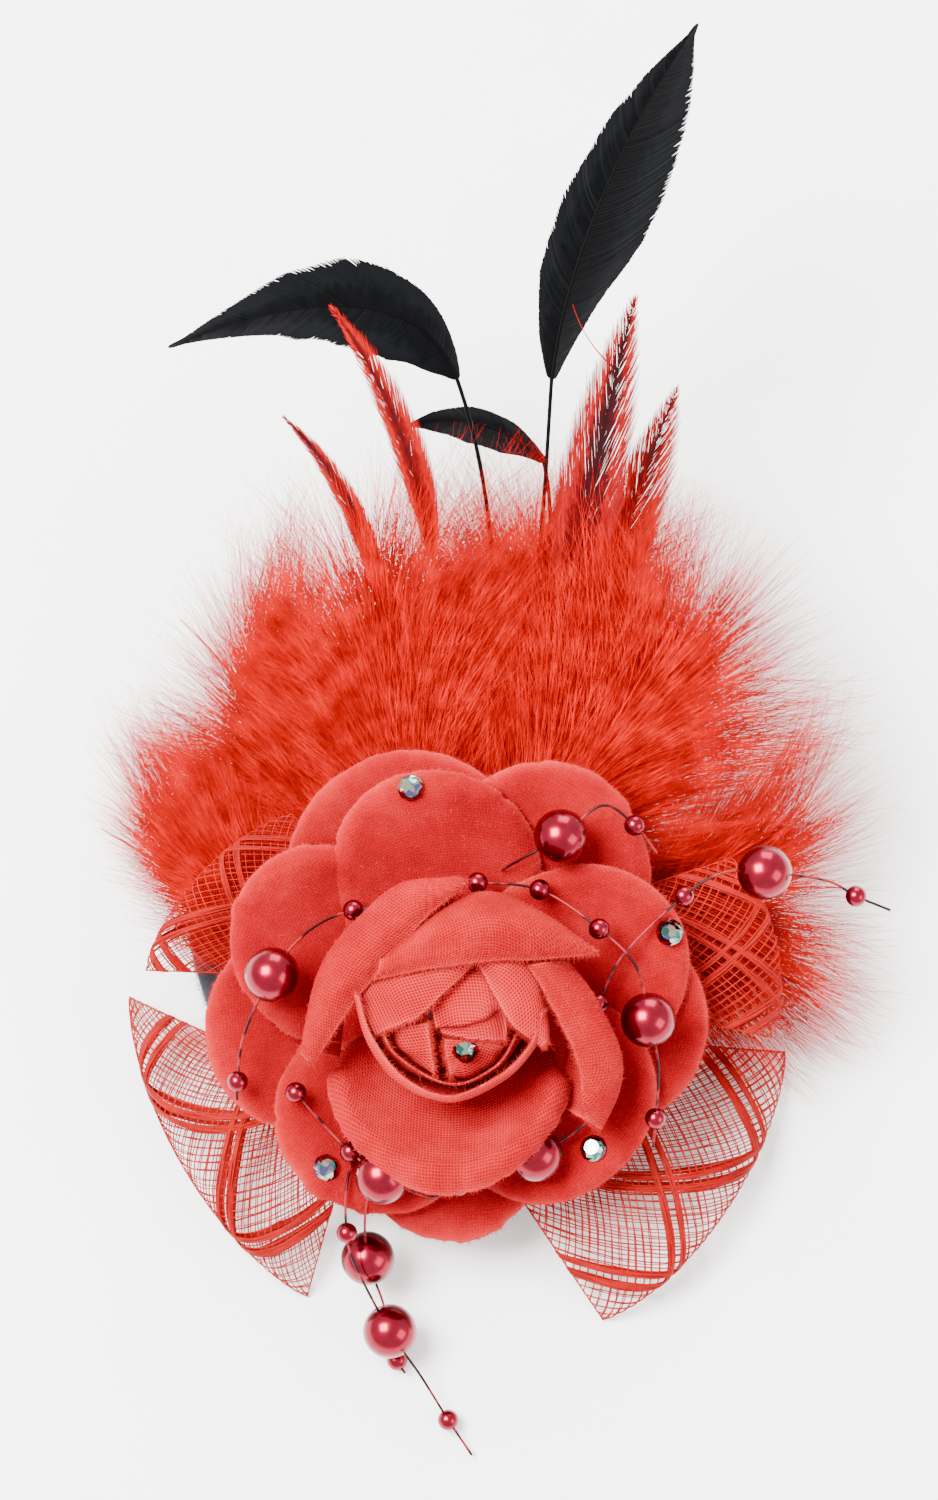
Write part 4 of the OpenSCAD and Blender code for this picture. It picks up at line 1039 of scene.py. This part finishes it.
for petal_number, petal_name in enumerate(sorted([*petals, *folds])):
    if petal_name in folds:
        kind, rows = folds[petal_name]
        made = cup_cloth if kind == "cup" else satin_cloth
        piece, grid = fold_mesh(petal_name + "_cloth", rows, 0.3, made,
                                "satin_petal" if kind == "bud" else "brushed_petal", 500 + petal_number)
        across, along = np.diff(grid, axis=0)[:, :-1], np.diff(grid, axis=1)[:-1]
        area = np.linalg.norm(np.cross(across, along), axis=2).sum()
        long = np.linalg.norm(np.diff(grid[:, 30], axis=0), axis=1).sum()
        edge = np.concatenate([grid[4:, 0], grid[-1], grid[:3:-1, -1]])
        inside = np.concatenate([grid[4:, 2], grid[-3], grid[:3:-1, -3]])
    else:
        line, kind, start, end, half, bearing, widest, point, spacing, curl, curl_width = petals[petal_name]
        made = cup_cloth if kind == "cup" else brushed_cloth
        grid, flat, share = petal_rings(
            line, start, end, half, bearing, widest, point, spacing, curl, curl_width,
            ruffle=0.5, ragged=0.35, seed=500 + petal_number,
        )
        piece = petal_mesh(petal_name + "_cloth", grid, flat, share, 0.3, made, "brushed_petal")
        area, long = ring_area(grid), end - start
        edge, inside = grid[-1], grid[-3]
    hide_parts(petal_name)
    rng = np.random.default_rng(300 + petal_number)
    fuzz_count = 1500
    pick = rng.uniform(0, len(edge) - 1.001, fuzz_count)
    whole, part = pick.astype(int), (pick % 1)[:, None]
    place_on_edge = edge[whole] * (1 - part) + edge[whole + 1] * part
    outward = edge[whole] - inside[whole]
    outward /= np.linalg.norm(outward, axis=1, keepdims=True) + 1e-9
    outward = outward + rng.normal(0, 0.6, outward.shape)
    t = np.linspace(-0.15, 1, 4)[None, :, None]
    bend = rng.normal(0, 0.4, (fuzz_count, 1, 3)) * t ** 2
    fuzz_long = rng.uniform(0.12, 0.5, (fuzz_count, 1, 1))
    fuzz_long = fuzz_long * np.where(rng.random((fuzz_count, 1, 1)) < 0.02, 2.5, 1)
    fray_paths.append(place_on_edge[:, None] + (outward[:, None] * t + bend) * fuzz_long)
    if kind != "bud":
        pile_count = 6000 if kind == "open" else 4000
        row = (grid.shape[0] * np.sqrt(rng.random(pile_count)) * 0.96 + 1).astype(int)
        row = row.clip(1, grid.shape[0] - 2)
        column = rng.integers(0, grid.shape[1] - 1, pile_count)
        across_cell = grid[row + 1, column + 1] - grid[row, column]
        spot = grid[row, column] + across_cell * rng.random((pile_count, 1))
        away = np.cross(grid[row + 1, column] - grid[row, column], grid[row, column + 1] - grid[row, column])
        away /= np.linalg.norm(away, axis=1, keepdims=True) + 1e-9
        spot = spot + away * 0.15 * np.sign(away[:, 2:] + 1e-9)
        away = away * np.sign(away[:, 2:] + 1e-9) * 0.5 + rng.normal(0, 0.45, away.shape)
        t = np.linspace(0, 1, 3)[None, :, None]
        bend = rng.normal(0, 0.3, (pile_count, 1, 3)) * t ** 2
        pile_long = rng.uniform(0.2, 0.5, (pile_count, 1, 1))
        pile_paths.append(spot[:, None] + (away[:, None] * t + bend) * pile_long)
pile_paths = np.concatenate(pile_paths)
pile_points, pile_faces = ribbons(
    head(pile_paths), np.array([[0.05, 0.04, 0.01]]) * MM,
    np.random.default_rng(9).normal(0, 1, (len(pile_paths), 3))
)
brushed_pile = straw("brushed_pile", (0.3, 0.002, 0.006), (0.52, 0.02, 0.024))
mesh_piece("petal_pile", pile_points, pile_faces, brushed_pile, "brushed_petal")
fray_points, fray_faces = tubes(head(np.concatenate(fray_paths)),
    np.array([[0.024, 0.022, 0.018, 0.008]]) * MM)
fray_cloth = straw("frayed_edge", (0.3, 0.006, 0.006), (0.46, 0.02, 0.018))
mesh_piece("petal_fray", fray_points, fray_faces, fray_cloth, "brushed_petal")

# ---- Bead sprays ----
# Acrylic pearls with a deep crimson lacquer, glued along stiff coated nylon line. The coat has flaked
# off the line in places, so it shows dark and clear by turns. Each spray is glued by its root.
routes = {
    "top": [(6.7, 19.2, 3.6), (10, 21.2, 6.4), (15.5, 24.4, 8), (21.5, 28.9, 9), (26.3, 26, 7.2),
        (29.6, 21.9, 6)],
    "right": [(21, 0, 8.4), (24.5, 7, 8.6), (33.4, 15.7, 8.8), (39.2, 19.2, 10), (45.1, 19.2, 10),
        (54, 18, 9.5),
              (58.5, 15.7, 9), (63.6, 13.6, 8)],
    "mid": [(3.3, 17.6, 7.6), (12.4, 16.6, 8), (21, 11, 10.6), (26.4, 5.4, 12), (28.1, -2.2, 11.4),
            (29.6, -8.9, 10.6), (29.2, -16.6, 10.3), (28.9, -20.7, 9.6)],
    "left": [(-2.7, 15.5, 12.6), (-14.8, 13.6, 7.9), (-21.5, 10.5, 10.5), (-26.5, 4.4, 12), (-30.6, -4.4, 11),
             (-31.7, -11.4, 8.5), (-31.8, -14.1, 8)],
    "low": [(-23.2, -13, 8.3), (-18.6, -18.2, 8.4), (-15.2, -21.5, 9.4), (-10.5, -25, 11), (-3.7, -28.1, 9),
            (0.7, -26.6, 8), (6, -24.6, 8.6), (11.8, -21.9, 9.6), (17.8, -18.5, 8.6), (23.2, -13.3, 8.4)],
    "drop": [(-14.4, -20.4, 4.8), (-15.8, -27, 9), (-15.8, -33.7, 6.6), (-14.6, -38.5, 5.8),
        (-9.6, -48.8, 1.6),
             (-5, -55.5, 1.4), (-1, -61.9, 1.5), (2.5, -67, 2.2)],
    "short": [(-11, -22, 4.6), (-13, -30, 8), (-12.9, -38.2, 0.2), (-10.8, -45, -3.2), (-9.6, -50, -3.8),
              (-8.6, -53.6, -2), (-7.4, -55.5, -1.6)],
}
large_beads = {"top": [2], "right": [4], "mid": [4], "left": [3], "low": [3, 7], "drop": [4], "short": [2]}
small_beads = {"top": [4], "right": [0, 2, 6], "mid": [0, 1, 2, 6], "left": [0, 1, 5], "low": [0, 2, 5],
               "drop": [2, 6], "short": [5]}
line_made, line_shader = finish_of("coated_line", 0.35, specular_ior_level=0.15)
flakes = add(line_made, "TexNoise", Vector=place(line_made), Scale=330, Detail=2)
join(
    line_made,
    shades(line_made, flakes.outputs["Fac"], (0.46, (0.01, 0.0006, 0.002)), (0.56, (0.2, 0.006, 0.01))),
    line_shader.inputs["Base Color"],
)
scuffs = add(line_made, "Bump", Height=flakes.outputs["Fac"], Strength=0.4, Distance=0.00005)
join(line_made, scuffs.outputs["Normal"], line_shader.inputs["Normal"])
pearl_made, pearl_shader = finish_of(
    "pearl_lacquer", 0.27, metallic=1.0, coat_weight=0.25, coat_roughness=0.1,
)
lacquer = add(pearl_made, "TexNoise", Vector=place(pearl_made), Scale=900, Detail=3)
join(
    pearl_made,
    shades(pearl_made, lacquer.outputs["Fac"], (0.3, (0.16, 0.0006, 0.011)), (0.7, (0.22, 0.001, 0.016))),
    pearl_shader.inputs["Base Color"],
)
lacquer_bump = add(pearl_made, "Bump", Height=lacquer.outputs["Fac"], Strength=0.08, Distance=0.0001)
join(pearl_made, lacquer_bump.outputs["Normal"], pearl_shader.inputs["Normal"])


def pearl_points(middle, way, radius, rings=26, around=40):
    """A pearl turned round its bore, with a dimple where the line goes in at each end."""
    way = way / np.linalg.norm(way)
    side = np.cross(way, [0.2, 0.9, 0.3])
    side /= np.linalg.norm(side)
    out = np.cross(way, side)
    bore = 0.28
    start = math.asin(bore / radius)
    polar = np.linspace(start, np.pi - start, rings)
    across = np.concatenate([[bore * 0.92, bore * 0.92], radius * np.sin(polar), [bore * 0.92, bore * 0.92]])
    along = radius * np.cos(polar)
    rim = radius * math.cos(start)
    along = np.concatenate([[rim - 0.9, rim - 0.12], along, [-rim + 0.12, -rim + 0.9]])
    turn = 2 * np.pi * np.arange(around) / around
    ring = side[None] * np.cos(turn)[:, None] + out[None] * np.sin(turn)[:, None]
    points = middle + along[:, None, None] * way + across[:, None, None] * ring[None]
    return points.reshape(-1, 3), lathe_faces(len(across), around)


groups = {"top": ["top"], "right": ["right"], "mid": ["mid"], "left": ["left"], "low": ["low"],
          "drop": ["drop", "short"]}
for group, members in groups.items():
    line_parts, bead_parts = [], []
    for member in members:
        route = spline(routes[member])
        line_parts.append(tubes(head(route)[None], np.full((1, len(route)), 0.2 * MM), 8))
        for radius, picks in ((4.0, large_beads[member]), (1.55, small_beads[member])):
            for pick in picks:
                station = pick * 16
                way = route[min(station + 2, len(route) - 1)] - route[max(station - 2, 0)]
                bead_parts.append(pearl_points(np.array(routes[member][pick], float), way, radius))
    for parts, name, made, slot, node in (
        (line_parts, "spray_line_" + group, line_made, "nylon_line", "line_" + group),
        (bead_parts, "spray_pearls_" + group, pearl_made, "pearl", "pearls_" + group),
    ):
        points, faces, total = [], [], 0
        for part_points, part_faces in parts:
            points.append(part_points if made is line_made else head(part_points))
            faces.append(part_faces + total)
            total += len(part_points)
        piece = mesh_piece(name, np.concatenate(points), np.concatenate(faces), made, slot)
        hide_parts(node)

# ---- Crystals ----
# Flat-backed glass crystals, 4 mm across, glued on petals. Each has a flat table, eight main facets
# and eight small ones, a thin girdle and a mirror-like back, with a rainbow coat. Their patchy colours
# are partly that coat and partly painted dark and coloured reflections.
crystal_made, crystal_shader = finish_of("rainbow_crystal", 0.06, metallic=1.0, coat_weight=0.6,
    coat_roughness=0.02)
# Cell by cell colours: the rainbow coat mixed with painted reflections, darker and tinted.
coat_and_reflection_cells = add(crystal_made, "TexVoronoi", Vector=place(crystal_made), Scale=1100)
join(
    crystal_made,
    shades(crystal_made, coat_and_reflection_cells.outputs["Color"], (0.2, (0.01, 0.07, 0.06)), (0.4, (0.06, 0.26, 0.2)),
           (0.52, (0.3, 0.3, 0.2)), (0.64, (0.3, 0.12, 0.1)), (0.8, (0.07, 0.05, 0.2))),
    crystal_shader.inputs["Base Color"],
)
crystals = [
    ((-6.4, 31.5, 7.9), 13, 3), ((1.6, -6, 18.4), 52, 4), ((20.3, -21.3, 7), -15, -14),
    ((-18.8, -24.1, 7.3), -15, 12),
    ((31.4, 10.4, 8.1), -3, -8),
]
cut_rows = [(0.0, 0.0, 0), (2.0, 0.0, 0), (2.0, 0.35, 0), (1.62, 0.95, 0.5), (1.12, 1.5, 0), (0.0, 1.5, 0)]
cut_points, cut_faces, total = [], [], 0
for spot, lean_x, lean_y in crystals:
    rows = []
    for radius, height, shift in cut_rows:
        turn = 2 * np.pi * (np.arange(16) + shift) / 16
        facet = np.where(np.arange(16) % 2, 0.965, 1.0)
        cut = [radius * facet * np.cos(turn), radius * facet * np.sin(turn), np.full(16, height)]
        rows.append(np.stack(cut, axis=1))
    stone = np.concatenate(rows)
    ax, ay = math.radians(lean_x), math.radians(lean_y)
    stone = stone @ np.array([[math.cos(ay), 0, -math.sin(ay)], [0, 1, 0], [math.sin(ay), 0, math.cos(ay)]])
    stone = stone @ np.array([[1, 0, 0], [0, math.cos(ax), math.sin(ax)], [0, -math.sin(ax), math.cos(ax)]])
    cut_points.append(stone + spot)
    cut_faces.append(lathe_faces(len(cut_rows), 16) + total)
    total += len(stone)
stones = mesh_piece(
    "crystal_stones", head(np.concatenate(cut_points)), np.concatenate(cut_faces), crystal_made,
    "crystal", smooth=False
)
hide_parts("crystals")

# ---- Floor, light and camera ----
# A plain off-white floor, a broad soft light over the flower's upper left, and dimmer ones behind and
# to the right. The camera looks straight down the flower head's own axis.
floor_made, floor_shader = finish_of("off_white_floor", 0.9, specular_ior_level=0.0)
paper = add(floor_made, "TexNoise", Vector=place(floor_made), Scale=60, Detail=4)
join(
    floor_made,
    shades(floor_made, paper.outputs["Fac"], (0.3, (0.95, 0.94, 0.92)), (0.7, (0.97, 0.96, 0.945))),
    floor_shader.inputs["Base Color"],
)
bpy.ops.mesh.primitive_grid_add(x_subdivisions=4, y_subdivisions=4, size=6)
floor = bpy.context.object
floor.name = "floor"
dress(floor, floor_made)
world = bpy.data.worlds.new("studio")
bpy.context.scene.world = world
world.use_nodes = True
world.node_tree.nodes["Background"].inputs["Color"].default_value = (1.0, 0.995, 0.985, 1)
world.node_tree.nodes["Background"].inputs["Strength"].default_value = 2.1
lit_point = Vector((0.01, 0.02, 0.02))
for name, spot, size, power in (
    ("upper_left", (-0.34, 0.02, 0.74), 0.4, 30.0),
    ("behind", (0.15, 0.75, 0.45), 0.5, 9.0),
    ("right_fill", (0.7, -0.35, 0.5), 0.5, 6.0),
):
    lamp = bpy.data.lights.new(name, "AREA")
    lamp.size = size
    lamp.energy = power
    lamp_object = bpy.data.objects.new(name, lamp)
    bpy.context.scene.collection.objects.link(lamp_object)
    lamp_object.location = spot
    aim = lit_point - Vector(spot)
    lamp_object.rotation_euler = aim.to_track_quat("-Z", "Y").to_euler()
camera_data = bpy.data.cameras.new("camera")
camera_data.sensor_width = 36
view_height = 222.0
view_distance = 600.0
view_across, view_up = 2.07, 37.0
camera_data.lens = 36 * view_distance / view_height
camera_data.clip_start = 0.05
camera_data.clip_end = 10
camera = bpy.data.objects.new("camera", camera_data)
bpy.context.scene.collection.objects.link(camera)
camera.location = head((view_across, view_up, view_distance))
camera.rotation_euler = (lean, 0, 0)
bpy.context.scene.camera = camera
